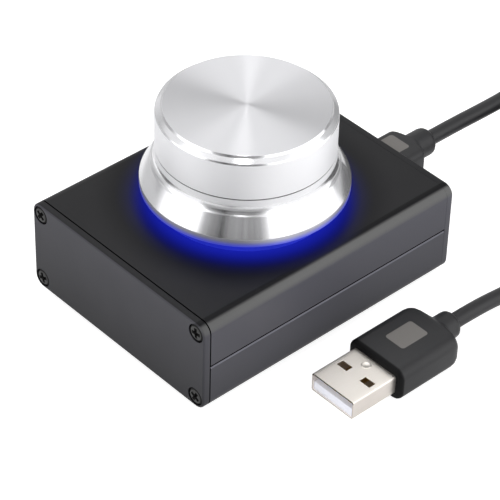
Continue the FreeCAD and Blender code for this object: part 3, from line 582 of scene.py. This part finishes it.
def tongue_plastic():
    """The plug's white insulator, with painted glow at its mouth and painted dark shade further in.
    """
    finish = Finish("white_moulding", Emission_Strength=1)
    # Painted light: white with a glow at the mouth; painted shade: dark brown with a dim glow
    # further in.
    mouth = finish.before(finish.axis("Y"), MOUTH_Y + 2.2, MOUTH_Y + 3.2)
    cloud = finish.grain(1.5)
    white = finish.mix(cloud, (0.8, 0.81, 0.88, 1), (0.88, 0.89, 0.95, 1))
    painted_glow = finish.mix(mouth, (0.05, 0.036, 0.024, 1), (0.14, 0.14, 0.16, 1))
    return finish.lay(Base_Color=finish.mix(mouth, (0.03, 0.02, 0.01, 1), white),
                      Emission_Color=painted_glow, Roughness=0.36 + cloud.swing(0.1),
                      Normal=finish.relief(cloud, 0.01))


def board_green():
    """The circuit board: green solder resist over a maze of copper tracks."""
    finish = Finish("board_green", Coat_Weight=0.4, Coat_Roughness=0.15)
    maze = finish.node("TexVoronoi", {"distance": "CHEBYCHEV", "feature": "DISTANCE_TO_EDGE"},
                       {"Vector": finish.place, "Scale": 420})
    track = finish.before(maze, 0.05, 0.09)
    weave = finish.grain(0.5, detail=2)
    resist = finish.mix(weave, (0.012, 0.1, 0.035, 1), (0.02, 0.15, 0.055, 1))
    return finish.lay(Base_Color=finish.mix(track * 0.7, resist, (0.05, 0.27, 0.1, 1)),
                      Roughness=0.38 + weave.swing(0.1), Normal=finish.relief(track, 0.03))


# ---------------- mesh work

# Vertices that are nearer than this are one, and rings are found to within this.
TOUCHING, RING_SLACK = 0.001, 0.01
# The most of a half side that a corner's round takes, so that its ends never meet.
LARGEST_ROUND = 0.999


def edges_between(shape, *points):
    """The edges of a new line of vertices through some points in millimetres."""
    line = [shape.verts.new(metres(*point)) for point in points]
    return line + [shape.edges.new(pair) for pair in zip(line, line[1:])]


def tidy(shape):
    """Merges what meets and turns the faces outward."""
    bmesh.ops.remove_doubles(shape, verts=shape.verts, dist=TOUCHING * MM)
    bmesh.ops.recalc_face_normals(shape, faces=shape.faces)


def turned(outline, steps, centre=(0, 0, 0), axis=Z_WAY):
    """A solid turned from half its outline, given as (radius, height) pairs from pole to pole."""
    shape = bmesh.new()
    line = edges_between(shape, *[(radius, 0, height) for radius, height in outline])
    bmesh.ops.spin(shape, geom=line, cent=(0, 0, 0), axis=Z_WAY, angle=FULL_TURN, steps=steps,
                   use_merge=True)
    tidy(shape)
    bmesh.ops.rotate(shape, verts=shape.verts, cent=(0, 0, 0),
                     matrix=Z_WAY.rotation_difference(axis).to_matrix())
    bmesh.ops.translate(shape, verts=shape.verts, vec=metres(*centre))
    return shape


def turn_flat(shape, angle):
    """Turns a mesh about the upright axis."""
    bmesh.ops.rotate(shape, verts=shape.verts, cent=(0, 0, 0),
                     matrix=Matrix.Rotation(angle, 3, "Z"))


def round_off(shape, sharp, width, parts, affect="EDGES"):
    """Rounds some edges, or a face's corners, by that many millimetres."""
    return bmesh.ops.bevel(shape, geom=sharp, offset=width * MM, offset_type="OFFSET",
                           segments=parts, profile=0.5, affect=affect, material=-1)


def thicken(shape, thickness):
    """Makes an open surface a sheet of that many millimetres."""
    bmesh.ops.recalc_face_normals(shape, faces=shape.faces)
    bmesh.ops.solidify(shape, geom=list(shape.faces), thickness=thickness * MM)
    tidy(shape)


def ring_edges(shape, rings):
    """The edges that lie on some of a turned solid's rings, given as (radius, height)."""
    def on(vert, ring):
        return (abs(vert.co.xy.length / MM - ring[0]) < RING_SLACK
                and abs(vert.co.z / MM - ring[1]) < RING_SLACK)
    return [edge for edge in shape.edges
            if any(all(on(vert, ring) for vert in edge.verts) for ring in rings)]


def block(low, high):
    """A plain block between two corners in millimetres, to be shaped further."""
    shape = bmesh.new()
    bmesh.ops.create_cube(shape, size=1)
    low, high = metres(*low), metres(*high)
    bmesh.ops.scale(shape, vec=high - low, verts=shape.verts)
    bmesh.ops.translate(shape, vec=(low + high) / 2, verts=shape.verts)
    return shape


def standing_loop(shape, middle, y, half_width, half_height, corner, parts):
    """A rounded rectangle that stands across Y. Gives its face."""
    place = (Matrix.Translation(metres(middle[0], y, middle[1]))
             @ Matrix.Rotation(QUARTER_TURN, 4, "X")
             @ Matrix.Diagonal((half_width * MM, half_height * MM, 1, 1)))
    made = bmesh.ops.create_grid(shape, x_segments=1, y_segments=1, size=1, matrix=place)
    corner = min(corner, LARGEST_ROUND * half_width, LARGEST_ROUND * half_height)
    face = made["verts"][0].link_faces[0]
    rounded = round_off(shape, made["verts"], corner, parts, affect="VERTICES")
    return face if face.is_valid else rounded["verts"][0].link_faces[0]


def lofted(middle, stations, parts=8):
    """A closed body through rounded rectangles, given as (y, half width, half height, corner)."""
    shape = bmesh.new()
    faces = [standing_loop(shape, middle, *station, parts) for station in stations]
    loops = [list(face.edges) for face in faces]
    for loop, following in zip(loops, loops[1:]):
        bmesh.ops.bridge_loops(shape, edges=loop + following)
    bmesh.ops.delete(shape, geom=faces[1:-1], context="FACES_ONLY")
    tidy(shape)
    return shape


def mesh_of(shape, name):
    """The mesh of a shape that is ready, and is used up by this."""
    mesh = bpy.data.meshes.new(name)
    shape.to_mesh(mesh)
    shape.free()
    return mesh


def joined(*shapes):
    """Some shapes as one."""
    whole = shapes[0]
    for shape in shapes[1:]:
        mesh = mesh_of(shape, "joined")
        whole.from_mesh(mesh)
        bpy.data.meshes.remove(mesh)
    return whole


def make_piece(name, shape, body, finishes, nodes=(), crisp=30):
    """The finished mesh as a piece: its materials, its body and the CAD nodes that it stands for.

    Edges sharper than crisp degrees stay sharp."""
    mesh = mesh_of(shape, name)
    for finish in finishes:
        mesh.materials.append(finish)
    mesh.polygons.foreach_set("use_smooth", [True] * len(mesh.polygons))
    mesh.set_sharp_from_angle(angle=math.radians(crisp))
    piece = placed(name, mesh)
    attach(piece, body)
    if nodes:
        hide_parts(*nodes)
    return piece


def cut_away(piece, shape, crisp):
    """Cuts a shape out of a piece."""
    cutter = placed("cutter", mesh_of(shape, "cutter"))
    cut = piece.modifiers.new("cut", "BOOLEAN")
    cut.object = cutter
    cut.solver = "EXACT"
    seen = piece.evaluated_get(bpy.context.evaluated_depsgraph_get())
    result = bpy.data.meshes.new_from_object(seen)
    result.name = piece.data.name
    piece.modifiers.clear()
    piece.data = result
    result.set_sharp_from_angle(angle=math.radians(crisp))
    # The cutter's object goes with its mesh.
    bpy.data.meshes.remove(cutter.data)


# ---------------- knob

KNOB_BOTTOM = 27.0
KNOB_STEPS, KNOB_CRISP = 256, 12
RIM_ROUND, FINE_ROUND = 0.16, 0.05
RIM_RADIUS = 22.1
FACE_RADIUS, FACE_HEIGHT = 17.4, 46.6
SKIRT_FOOT, SKIRT_HEAD = (RIM_RADIUS, 28.8), (19.85, 32.93)
COVE_FOOT, COVE_HEAD = (19.5, 33.22), (18.93, 35.4)
# How much of the cove's way inward is a plain slope. The rest bends more and more.
COVE_SLOPE, COVE_PARTS = 0.35, 14
GROOVE_TOP = 36.7
GRIP_TOP = (18.9, 45.1)
EDGE_RINGS = [(18.73, 45.46), (17.74, 46.14), (FACE_RADIUS, FACE_HEIGHT)]
# From the blind end of the bore, round the hollow underside and up the outside to the middle of
# the face: rim, skirt, cove, the fine groove under the grip, and the bevels of the top edge.
KNOB_OUTLINE_BELOW = [(0, 42.0), (3.02, 42.0), (3.02, 31.0), (13.0, 31.0), (13.0, KNOB_BOTTOM),
                      (RIM_RADIUS, KNOB_BOTTOM), SKIRT_FOOT, SKIRT_HEAD]
KNOB_OUTLINE_ABOVE = [(18.86, 36.42), (18.6, 36.48), (18.6, 36.66), (18.9, 36.72), GRIP_TOP,
                      *EDGE_RINGS, (0, FACE_HEIGHT)]
# What lies nearer to the axis than this is the bore and the underside.
KNOB_INSIDE = 18
GRUB_HOLE, GRUB_PLACE = [(0, 0), (1.52, 0), (1.52, 20), (0, 20)], (0, 2.6, 35)
# The knob's finishes, in the order of its material slots.
FACE, GRIP, POLISHED, NECK, RIM = range(5)


def cove():
    """The hollow curve over the skirt's bevelled head, which ends almost upright in the neck."""
    curve = []
    for number in range(COVE_PARTS + 1):
        rise = number / COVE_PARTS
        outward = COVE_SLOPE * (1 - rise) + (1 - COVE_SLOPE) * (1 - rise) ** 4
        curve.append((COVE_HEAD[0] + (COVE_FOOT[0] - COVE_HEAD[0]) * outward,
                      COVE_FOOT[1] + (COVE_HEAD[1] - COVE_FOOT[1]) * rise))
    return curve


def knob_finish(middle):
    """Which of the knob's finishes a face has, by its middle in millimetres."""
    if middle.z > FACE_HEIGHT - RING_SLACK:
        return FACE
    if SKIRT_FOOT[1] < middle.z < SKIRT_HEAD[1] or middle.z > GRIP_TOP[1]:
        return POLISHED
    if middle.z < GROOVE_TOP and middle.xy.length > KNOB_INSIDE:
        return NECK if middle.z > SKIRT_HEAD[1] else RIM
    return GRIP


def make_knob(finishes):
    """The turned knob, with the hole of its grub screw at the back of the neck."""
    shape = turned(KNOB_OUTLINE_BELOW + cove() + KNOB_OUTLINE_ABOVE, KNOB_STEPS)
    rim_edges = ring_edges(shape, [(RIM_RADIUS, KNOB_BOTTOM), SKIRT_FOOT])
    round_off(shape, rim_edges, RIM_ROUND, parts=3)
    fine_edges = ring_edges(shape, [SKIRT_HEAD, COVE_FOOT, GRIP_TOP, *EDGE_RINGS])
    round_off(shape, fine_edges, FINE_ROUND, parts=2)
    for face in shape.faces:
        face.material_index = knob_finish(face.calc_center_median() / MM)
    knob = make_piece("knob_body", shape, "knob", finishes, nodes=["knob"],
                      crisp=KNOB_CRISP)
    cut_away(knob, turned(GRUB_HOLE, 32, centre=GRUB_PLACE, axis=Y_WAY), crisp=KNOB_CRISP)


# ---------------- end plates

SCREW_X, SCREW_RISE = 24.45, 8.45
# How far the plate's outline lies behind its face and in from its rim: the softened front edge,
# and then the step behind its lip.
PLATE_EDGE = [(0, 0.42), (-0.1, 0.18), (-0.24, 0.05), (-0.42, 0)]
FRONT_PROFILE = PLATE_EDGE + [(-1.58, 0), (-1.58, 0.4), (-1.8, 0.4)]
REAR_PROFILE = PLATE_EDGE + [(-1.74, 0), (-1.8, 0.08)]
SINK_OUTLINE = [(0, 0.5), (2.1, 0.5), (2.1, -1.0), (1.4, -1.0), (1.4, -3), (0, -3)]
JACK_OPENING = (-2.31, 33.0, 10.84), (5.71, 36.0, 13.85)


def screw_places(side):
    """Where the screws' faces are in a plate that faces along side * Y."""
    return [(x, side * PLATE_FACE, CASE_MIDDLE[1] + rise)
            for x in (-SCREW_X, SCREW_X) for rise in (-SCREW_RISE, SCREW_RISE)]


def make_plate(name, side, finish, profile, opening=None):
    """An end plate with sunk screw holes, and a stepped edge behind its softened face."""
    stations = [(-PLATE_FACE - depth, CASE_HALF_WIDTH - inset, CASE_HALF_HEIGHT - inset,
                 CASE_CORNER - inset) for depth, inset in profile]
    shape = lofted(CASE_MIDDLE, stations)
    if side > 0:
        turn_flat(shape, math.pi)
    plate = make_piece(name + "_body", shape, "housing", [finish], nodes=[name],
                       crisp=50)
    sinks = [turned(SINK_OUTLINE, 48, centre=place, axis=side * Y_WAY)
             for place in screw_places(side)]
    if opening:
        sinks.append(block(*opening))
    cut_away(plate, joined(*sinks), crisp=40)


# ---------------- plate screws

SCREW_OUTLINE = [(0, 0.06), (1.2, 0.02), (1.55, -0.06), (1.8, -0.24), (1.92, -0.5), (1.92, -1.0),
                 (1.1, -1.2), (1.1, -3.0), (0, -3.0)]
SCREW_CRISP = 25
# Outside this radius a screw's head is painted dark as the shade of its recess.
SCREW_SHADOW = 1.62
# One arm of a screw's cross, and how much it narrows to its foot.
CROSS_LOW, CROSS_HIGH = (-1.5, -0.42, -0.95), (1.5, 0.42, 0.4)
CROSS_TAPER = (0.35, 0.75, 1)
# A screw's finishes, in the order of its material slots: its steel, then near black painted shade.
HEAD, RECESS_SHADE = range(2)


def cross_cutter():
    """A tapered cross, as a driver leaves room for, pointing down into a screw's head."""
    arms = []
    for turn in (0, QUARTER_TURN):
        arm = block(CROSS_LOW, CROSS_HIGH)
        foot = [vert for vert in arm.verts if vert.co.z < 0]
        bmesh.ops.scale(arm, vec=CROSS_TAPER, verts=foot)
        turn_flat(arm, turn)
        for face in arm.faces:
            # The cross's faces are painted near black as the shade of the recess.
            face.material_index = RECESS_SHADE
        arms.append(arm)
    return arms


def make_screws(name, side, finishes, turns):
    """Four cross-head screws, flush in an end plate that faces along side * Y."""
    heads = []
    cutters = [[], []]
    for middle, turn in zip(screw_places(side), turns):
        place = (Matrix.Translation(metres(*middle))
                 @ Matrix.Rotation(-side * QUARTER_TURN, 4, "X")
                 @ Matrix.Rotation(math.radians(turn), 4, "Z"))
        head = turned(SCREW_OUTLINE, 40)
        for face in head.faces:
            # The ring round the head is painted near black as the shade of its hole.
            shaded = face.calc_center_median().xy.length > SCREW_SHADOW * MM
            face.material_index = RECESS_SHADE if shaded else HEAD
        bmesh.ops.transform(head, matrix=place, verts=head.verts)
        heads.append(head)
        for arms, arm in zip(cutters, cross_cutter()):
            bmesh.ops.transform(arm, matrix=place, verts=arm.verts)
            arms.append(arm)
    screws = make_piece(name, joined(*heads), "housing", finishes, nodes=[name],
                        crisp=SCREW_CRISP)
    for arms in cutters:
        cut_away(screws, joined(*arms), crisp=SCREW_CRISP)


# ---------------- plugs of the lead

# Each grip as (y, half width, half height, corner), from its front to the end of its sleeve.
USB_A_STATIONS = [
    (-2.0, 7.3, 3.6, 2.0), (-1.75, 7.55, 3.85, 2.25), (-1.35, 7.7, 4.0, 2.4),
    (12.9, 7.7, 4.0, 2.4), (14.0, 7.6, 3.95, 2.5), (14.8, 7.25, 3.85, 2.7),
    (15.3, 6.6, 3.65, 3.0), (15.6, 5.6, 3.45, 3.2), (15.85, 4.4, 3.3, 3.2),
    (16.2, 3.5, 3.15, 3.1), (16.9, 3.1, 3.1, 3.1), (19.3, 3.1, 3.1, 3.1),
    (20.0, 2.98, 2.98, 2.98), (20.35, 2.7, 2.7, 2.7), (20.5, 2.2, 2.2, 2.2)]
MICRO_STATIONS = [
    (35.32, 5.25, 2.9, 1.3), (35.6, 5.5, 3.15, 1.5), (46.7, 5.5, 3.15, 1.5),
    (47.2, 5.4, 3.15, 1.7), (47.55, 5.1, 3.15, 2.0), (47.85, 4.5, 3.2, 2.5),
    (48.1, 3.8, 3.22, 3.0), (48.5, 3.3, 3.25, 3.2), (49.2, 3.25, 3.25, 3.25),
    (52.4, 3.25, 3.25, 3.25), (53.1, 3.1, 3.1, 3.1), (53.55, 2.75, 2.75, 2.75),
    (53.8, 2.2, 2.2, 2.2)]
SHELL_WALL, SHELL_FOLD, SHELL_BURR = 0.3, 0.45, 0.06
# The latch windows: how far each side of the middle, where along the shell, and half their size.
WINDOW_X, WINDOW_Y = 3.3, -7.45
WINDOW_HALF = (1.42, 0.88)
DIMPLE_PLACE = (41.9, -4.1, 6.25)
DIMPLE_OUTLINE = [(0, 0.05), (0.7, 0.05), (0.9, 0.13), (1.1, 0.04), (1.14, -0.1), (0, -0.1)]
# The cosine over which two ways count as the same.
ALONG = 0.9


def make_grip(node, middle, stations, finish):
    """A plug's moulded grip: soft long edges, rounded shoulders and the sleeve of its cord."""
    make_piece(node + "_body", lofted(middle, stations), "lead", [finish], nodes=[node],
               crisp=50)


def runs_along_y(edge):
    """Whether an edge runs from front to rear."""
    way = (edge.verts[0].co - edge.verts[1].co).normalized()
    return abs(way.y) > ALONG


def in_window(face):
    """Whether a face of the plug's shell lies over a latch window."""
    middle = face.calc_center_median() / MM
    return (abs(face.normal.z) > ALONG and abs(middle.y - WINDOW_Y) < WINDOW_HALF[1]
            and abs(abs(middle.x - USB_A_MIDDLE[0]) - WINDOW_X) < WINDOW_HALF[0])


def make_usb_a_shell(finish):
    """The folded sheet shell of the large plug, with its latch windows and pressed dimple."""
    shape = block(SHELL_LOW, SHELL_HIGH)
    round_off(shape, [edge for edge in shape.edges if runs_along_y(edge)], SHELL_FOLD, parts=4)
    ends = [face for face in shape.faces if abs(face.normal.y) > ALONG]
    bmesh.ops.delete(shape, geom=ends, context="FACES_ONLY")
    borders = [(X_WAY, USB_A_MIDDLE[0] + side * WINDOW_X + edge * WINDOW_HALF[0])
               for side in (-1, 1) for edge in (-1, 1)]
    borders += [(Y_WAY, WINDOW_Y + edge * WINDOW_HALF[1]) for edge in (-1, 1)]
    for way, distance in borders:
        everything = list(shape.verts) + list(shape.edges) + list(shape.faces)
        bmesh.ops.bisect_plane(shape, geom=everything, plane_co=way * distance * MM, plane_no=way)
    windows = [face for face in shape.faces if in_window(face)]
    bmesh.ops.delete(shape, geom=windows, context="FACES")
    thicken(shape, SHELL_WALL)
    dimple = turned(DIMPLE_OUTLINE, 32, centre=DIMPLE_PLACE)
    shell = make_piece("usb_a_shell_body", joined(shape, dimple), "lead", [finish],
                       nodes=["usb_a_shell"])
    edge = shell.modifiers.new("edge", "BEVEL")
    edge.width = SHELL_BURR * MM
    edge.segments = 2
    edge.limit_method = "ANGLE"
    edge.angle_limit = math.radians(50)


# ---------------- coil tie

TIE_HEADING = math.radians(60)
TIE_WIDTH, TIE_THICK, TIE_CORNER = 6.0, 0.6, 2.2


def make_coil_tie(finish):
    """A fabric strap round the coil's turns, on its far side."""
    half_width = len(COIL_COLUMNS) * CORD_RADIUS + TIE_THICK
    half_height = len(COIL_LAYERS) * CORD_RADIUS + TIE_THICK / 2
    shape = bmesh.new()
    outer = standing_loop(shape, (0, half_height), -TIE_WIDTH / 2, half_width, half_height,
                          TIE_CORNER, parts=6)
    bmesh.ops.delete(shape, geom=[outer], context="FACES_ONLY")
    made = bmesh.ops.extrude_edge_only(shape, edges=list(shape.edges))
    moved = [item for item in made["geom"] if isinstance(item, bmesh.types.BMVert)]
    bmesh.ops.translate(shape, verts=moved, vec=metres(0, TIE_WIDTH, 0))
    thicken(shape, TIE_THICK)
    bmesh.ops.translate(shape, verts=shape.verts, vec=metres(COIL_COLUMNS[1], 0, 0))
    turn_flat(shape, TIE_HEADING)
    bmesh.ops.translate(shape, verts=shape.verts, vec=metres(*COIL_CENTRE, 0))
    make_piece("coil_tie", shape, "lead", [finish], crisp=40)


# ---------------- push switch's dome

# The pressed dome under the knob's shaft, as (radius, height) pairs over and then under the sheet.
DOME_SECTION = [(0, 0.8), (0.75, 0.79), (1.27, 0.75), (1.62, 0.64), (1.95, 0.42), (2.3, 0),
                (2.1, 0), (1.8, 0.34), (1.5, 0.53), (1.2, 0.63), (0.75, 0.67), (0, 0.68)]


def make_switch_dome(finish):
    """The push switch's spring dome, which gives under the plunger."""
    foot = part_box("switch_dome")[0][2] / MM
    dome = make_piece("switch_dome_spring", turned(DOME_SECTION, 48, centre=(0, 0, foot)),
                      "housing", [finish], nodes=["switch_dome"])
    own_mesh(dome)


# ---------------- studio

# The parts of the room as soft steps in degrees: (start, full, fade, end), or (start, end). First
# by heading from the camera, to its right or to its left.
RIGHT_BOX, LEFT_BOX = (23, 31, 107, 114), (42, 50, 86, 98)
RIGHT_GAP, LEFT_GAP = (15, 27), (35, 50)
RIGHT_SCREEN, LEFT_SHADE = (108, 115, 158, 176), (95, 106, 118, 155)
LEFT_GLOW = (116, 130, 160, 172)
LEFT_STRIPE, STRIPE_REACH = 23, (2, 8)
# Then by rise over the table.
BOXES_TOP, SCREEN_TOP, SHADE_TOP = (44, 58), (50, 60), (20, 32)
GAP_FOOT, SCREEN_FOOT = (2, 18), (10, 28)
GLOW_FOOT, GLOW_TOP = (26, 38), (43, 55)
ROOF_FOOT, STRIP_FOOT, VENT_FOOT = (57, 64), (57, 65), (70, 78)
# The roof's strip lies a little to the left, by the sideways part of a way of length 1.
LEFT_STRIP, STRIP_REACH = 0.03, (0.03, 0.12)
# Levels of the room's light.
ROOM_BACK, ROOM_BOXES, ROOM_DARK, ROOM_STRIPE, ROOM_FLUTTER = 0.84, 1.85, 0.25, 0.04, 0.9
ROOM_ROOF, ROOM_STRIP, ROOM_VENT = 1.04, 7.2, 0.42
ROOM_SHADE, ROOM_GLOW, ROOM_SCREEN, ROOM_SCREEN_HIGH = 0.38, 1.35, 0.24, 0.56
# From the object to the camera, seen from above.
TO_CAMERA = -CAMERA_LOOK.xy.normalized()


def beside_camera(east, north):
    """How much of a way points to the camera's right."""
    return north * TO_CAMERA.x - east * TO_CAMERA.y


def heading_from_camera(east, north):
    """A way's heading in degrees from the camera's, seen from above, growing to its right."""
    toward = east * TO_CAMERA.x + north * TO_CAMERA.y
    return toward.maths("ARCTAN2", beside_camera(east, north), toward) * math.degrees(1)


def boxes_and_gap(bench, heading):
    """The masks of the two soft boxes and of the gap between them."""
    boxes = bench.within(heading, *RIGHT_BOX) + bench.within(-heading, *LEFT_BOX)
    return boxes, bench.before(heading, *RIGHT_GAP) * bench.before(-heading, *LEFT_GAP)


def light_room():
    """A white tent with a soft box each side of the camera, and a dark gap between them.

    The gap flutters a little and has a darker stripe. Past the right box is a dark screen, and
    past the left one a shaded stretch, with a brighter patch higher up. The roof is bright, with
    a strip light in line with the camera and a dim vent at the very top. Seen straight by the
    camera, all of it is plain white."""
    world = bpy.data.worlds.new("white_tent")
    bpy.context.scene.world = world
    world.use_nodes = True
    room = Bench(world.node_tree)
    way = room.node("TexCoord", output="Generated")
    east, north, upward = [room.node("SeparateXYZ", sockets={"Vector": way}, output=axis)
                           for axis in "XYZ"]
    heading = heading_from_camera(east, north)
    rise = upward.maths("ARCSINE", upward) * math.degrees(1)
    boxes, gap = boxes_and_gap(room, heading)
    wall = ROOM_BACK + boxes * room.before(rise, *BOXES_TOP) * (ROOM_BOXES - ROOM_BACK)

    stripe = room.before(abs(heading + LEFT_STRIPE), *STRIPE_REACH)
    flutter = room.bands(heading, 2, detail=3)
    gap_light = (ROOM_DARK * (room.smooth(rise, *GAP_FOOT) * 0.6 + 0.4)
                 + flutter.swing(ROOM_FLUTTER) - stripe * (ROOM_DARK - ROOM_STRIPE))
    wall = wall.toward(gap, gap_light)

    shade = room.within(-heading, *LEFT_SHADE) * room.before(rise, *SHADE_TOP)
    wall = wall.toward(shade, ROOM_SHADE)
    screen = room.within(heading, *RIGHT_SCREEN) * room.before(rise, *SCREEN_TOP)
    screen_rise = room.smooth(rise, *SCREEN_FOOT)
    wall = wall.toward(screen, ROOM_SCREEN + screen_rise * (ROOM_SCREEN_HIGH - ROOM_SCREEN))
    glow = (room.within(-heading, *LEFT_GLOW) * room.smooth(rise, *GLOW_FOOT)
            * room.before(rise, *GLOW_TOP))
    wall = wall.toward(glow, ROOM_GLOW)

    beside = beside_camera(east, north)
    strip = room.before(abs(beside + LEFT_STRIP), *STRIP_REACH) * room.smooth(rise, *STRIP_FOOT)
    roof = room.smooth(rise, *ROOF_FOOT)
    light = wall.toward(roof, ROOM_ROOF) + strip * (ROOM_STRIP - ROOM_ROOF)
    light = light.toward(room.smooth(rise, *VENT_FOOT), ROOM_VENT)
    seen = room.node("LightPath", output="Is Camera Ray")
    background = room.tree.nodes["Background"]
    background.inputs["Strength"].default_value = 1
    plug(room.tree, light.toward(seen, 1), background.inputs["Color"])


# Half the table top's side, in metres.
FLOOR_REACH = 3
# The table near the object: its colour, the light it throws up, and how it shows to the camera.
NEAR_COLOUR, NEAR_LIGHT, FLOOR_SEEN = 0.5, 0.48, 0.85
# It fades by radius into the far table, whose light goes by heading.
FLOOR_FADE = (85, 125)
FAR_COLOUR, FAR_LIGHT, FAR_BOXES, FAR_GAP = 0.25, 0.26, 0.8, 0.04


def lay_floor():
    """A plain white table top, shown a little whiter than the light that it throws up."""
    shape = bmesh.new()
    bmesh.ops.create_grid(shape, x_segments=1, y_segments=1, size=FLOOR_REACH)
    floor = placed("floor", mesh_of(shape, "floor"))
    white = Finish("white_table", Emission_Strength=1)
    far = white.smooth(white.radius(), *FLOOR_FADE)
    boxes, gap = boxes_and_gap(white, heading_from_camera(white.axis("X"), white.axis("Y")))
    far_light = white.mix(boxes, grey(FAR_LIGHT), grey(FAR_BOXES))
    far_light = white.mix(gap, far_light, grey(FAR_GAP))
    thrown = white.mix(far, grey(NEAR_LIGHT), far_light)
    seen = white.node("LightPath", output="Is Camera Ray")
    floor.data.materials.append(white.lay(
        Base_Color=white.mix(far, grey(NEAR_COLOUR), grey(FAR_COLOUR)), Roughness=0.7,
        Emission_Color=white.mix(seen, thrown, grey(FLOOR_SEEN))))


# ---------------- the whole

black_pvc = moulded("black_pvc", PVC_DARK, PVC_LIGHT, rough=0.42, size=0.14, depth=0.005,
                    Specular_IOR_Level=0.4)
cord = make_cord(black_pvc)
make_coil_tie(moulded("tie_fabric", grey(0.012), grey(0.03), rough=0.85, size=0.3, depth=0.05))

make_knob([turned_face(),
           turned_side("turned_grip", rough=0.5, anisotropic=0.3, depth=0.0012, metallic=0.42,
                       level=0.91),
           turned_side("turned_skirt", rough=0.16, anisotropic=0.8, depth=0.0008, metallic=0.85),
           turned_neck(), lit_rim()])

black_steel = worked_metal("black_steel", grey(0.045), grey(0.085), rough=0.38, size=0.12,
                           depth=0.002)
# The screws' second finish is painted shade: near black in the cross and round the head.
screw_finishes = [black_steel, moulded("screw_recess_shade", grey(0.002), grey(0.006), rough=0.9,
                                       size=0.1, depth=0.002)]
make_screws("front_plate_screws", -1, screw_finishes, turns=(18, 52, -27, 5))
make_screws("rear_plate_screws", 1, screw_finishes, turns=(40, -12, 71, 33))
plate_finish = anodised("anodised_plates")
make_plate("front_plate", -1, plate_finish, FRONT_PROFILE)
make_plate("rear_plate", 1, plate_finish, REAR_PROFILE, opening=JACK_OPENING)

make_grip("usb_a_grip", USB_A_MIDDLE, USB_A_STATIONS,
          label_plastic("usb_a_grip_pvc", centre=(42.0, 7.3), half=(2.65, 3.75), top=8.0,
                        front=-2.0))
make_grip("micro_plug_grip", MICRO_MIDDLE, MICRO_STATIONS,
          label_plastic("micro_grip_pvc", centre=(0.9, 42.0), half=(2.9, 3.9), top=15.495,
                        front=35.3))
nickel = worked_metal("nickel", (0.93, 0.86, 0.79, 1), (0.98, 0.92, 0.85, 1), rough=0.4, size=0.3,
                      depth=0.0004, stretch=(1, 9, 1))
make_usb_a_shell(plated_shell())
spring_steel = worked_metal("spring_steel", grey(0.45), grey(0.58), rough=0.28, size=0.1,
                            depth=0.001, stretch=(1, 6, 1))
make_switch_dome(spring_steel)

# The CAD nodes that are shown as they are, by finish.
for finish, nodes in (
        (anodised("anodised_upper", split=True, glow=True), ["upper_shell"]),
        (anodised("anodised_lower", split=True), ["lower_shell"]),
        (frosted_light(), ["light_ring"]),
        (black_steel, ["knob_grub_screw"]),
        (worked_metal("drawn_steel", grey(0.5), grey(0.62), rough=0.3, size=0.1, depth=0.001,
                      stretch=(1, 1, 8)), ["encoder_shaft"]),
        (board_green(), ["circuit_board"]),
        (nickel, ["micro_plug_shell", "usb_jack_shell"]),
        (moulded("foot_rubber", grey(0.014), grey(0.028), rough=0.8, size=0.25, depth=0.012),
         ["foot_front_left", "foot_front_right", "foot_rear_left", "foot_rear_right"]),
        (moulded("black_epoxy", grey(0.02), grey(0.035), rough=0.55, size=0.1, depth=0.006),
         ["controller_chip", "led_resistors", "reservoir_capacitor"]),
        (moulded("led_package", (0.35, 0.42, 0.9, 1), (0.5, 0.58, 0.95, 1), rough=0.2, size=0.2,
                 depth=0.002, Emission_Color=(0.02, 0.06, 1, 1), Emission_Strength=1.5),
         ["blue_leds"]),
        (moulded("encoder_moulding", grey(0.03), grey(0.05), rough=0.5, size=0.12, depth=0.004),
         ["encoder_base", "usb_jack_tongue"]),
        (moulded("rotor_moulding", (0.62, 0.62, 0.58, 1), (0.72, 0.72, 0.68, 1), rough=0.45,
                 size=0.15, depth=0.004), ["encoder_rotor", "switch_plunger"]),
        (tongue_plastic(), ["usb_a_tongue"]),
        (worked_metal("zinc", grey(0.46), grey(0.6), rough=0.42, size=0.2, depth=0.004),
         ["encoder_bush", "bush_washer", "bush_nut"]),
        (worked_metal("tinned_steel", grey(0.52, (1, 1, 0.97)), grey(0.66, (1, 1, 0.97)),
                      rough=0.3, size=0.15, depth=0.001, stretch=(6, 1, 1)),
         ["encoder_bracket", "encoder_pins", "crystal"]),
        (spring_steel, ["detent_spring"]),
        (worked_metal("gold_contact", (0.72, 0.5, 0.2, 1), (0.86, 0.64, 0.3, 1), rough=0.24,
                      size=0.1, depth=0.0006, stretch=(1, 8, 1)), ["usb_a_contacts"])):
    for node in nodes:
        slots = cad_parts[node].data.materials
        slots.clear()
        slots.append(finish)

light_room()
lay_floor()
bpy.context.scene.view_settings.view_transform = "Standard"
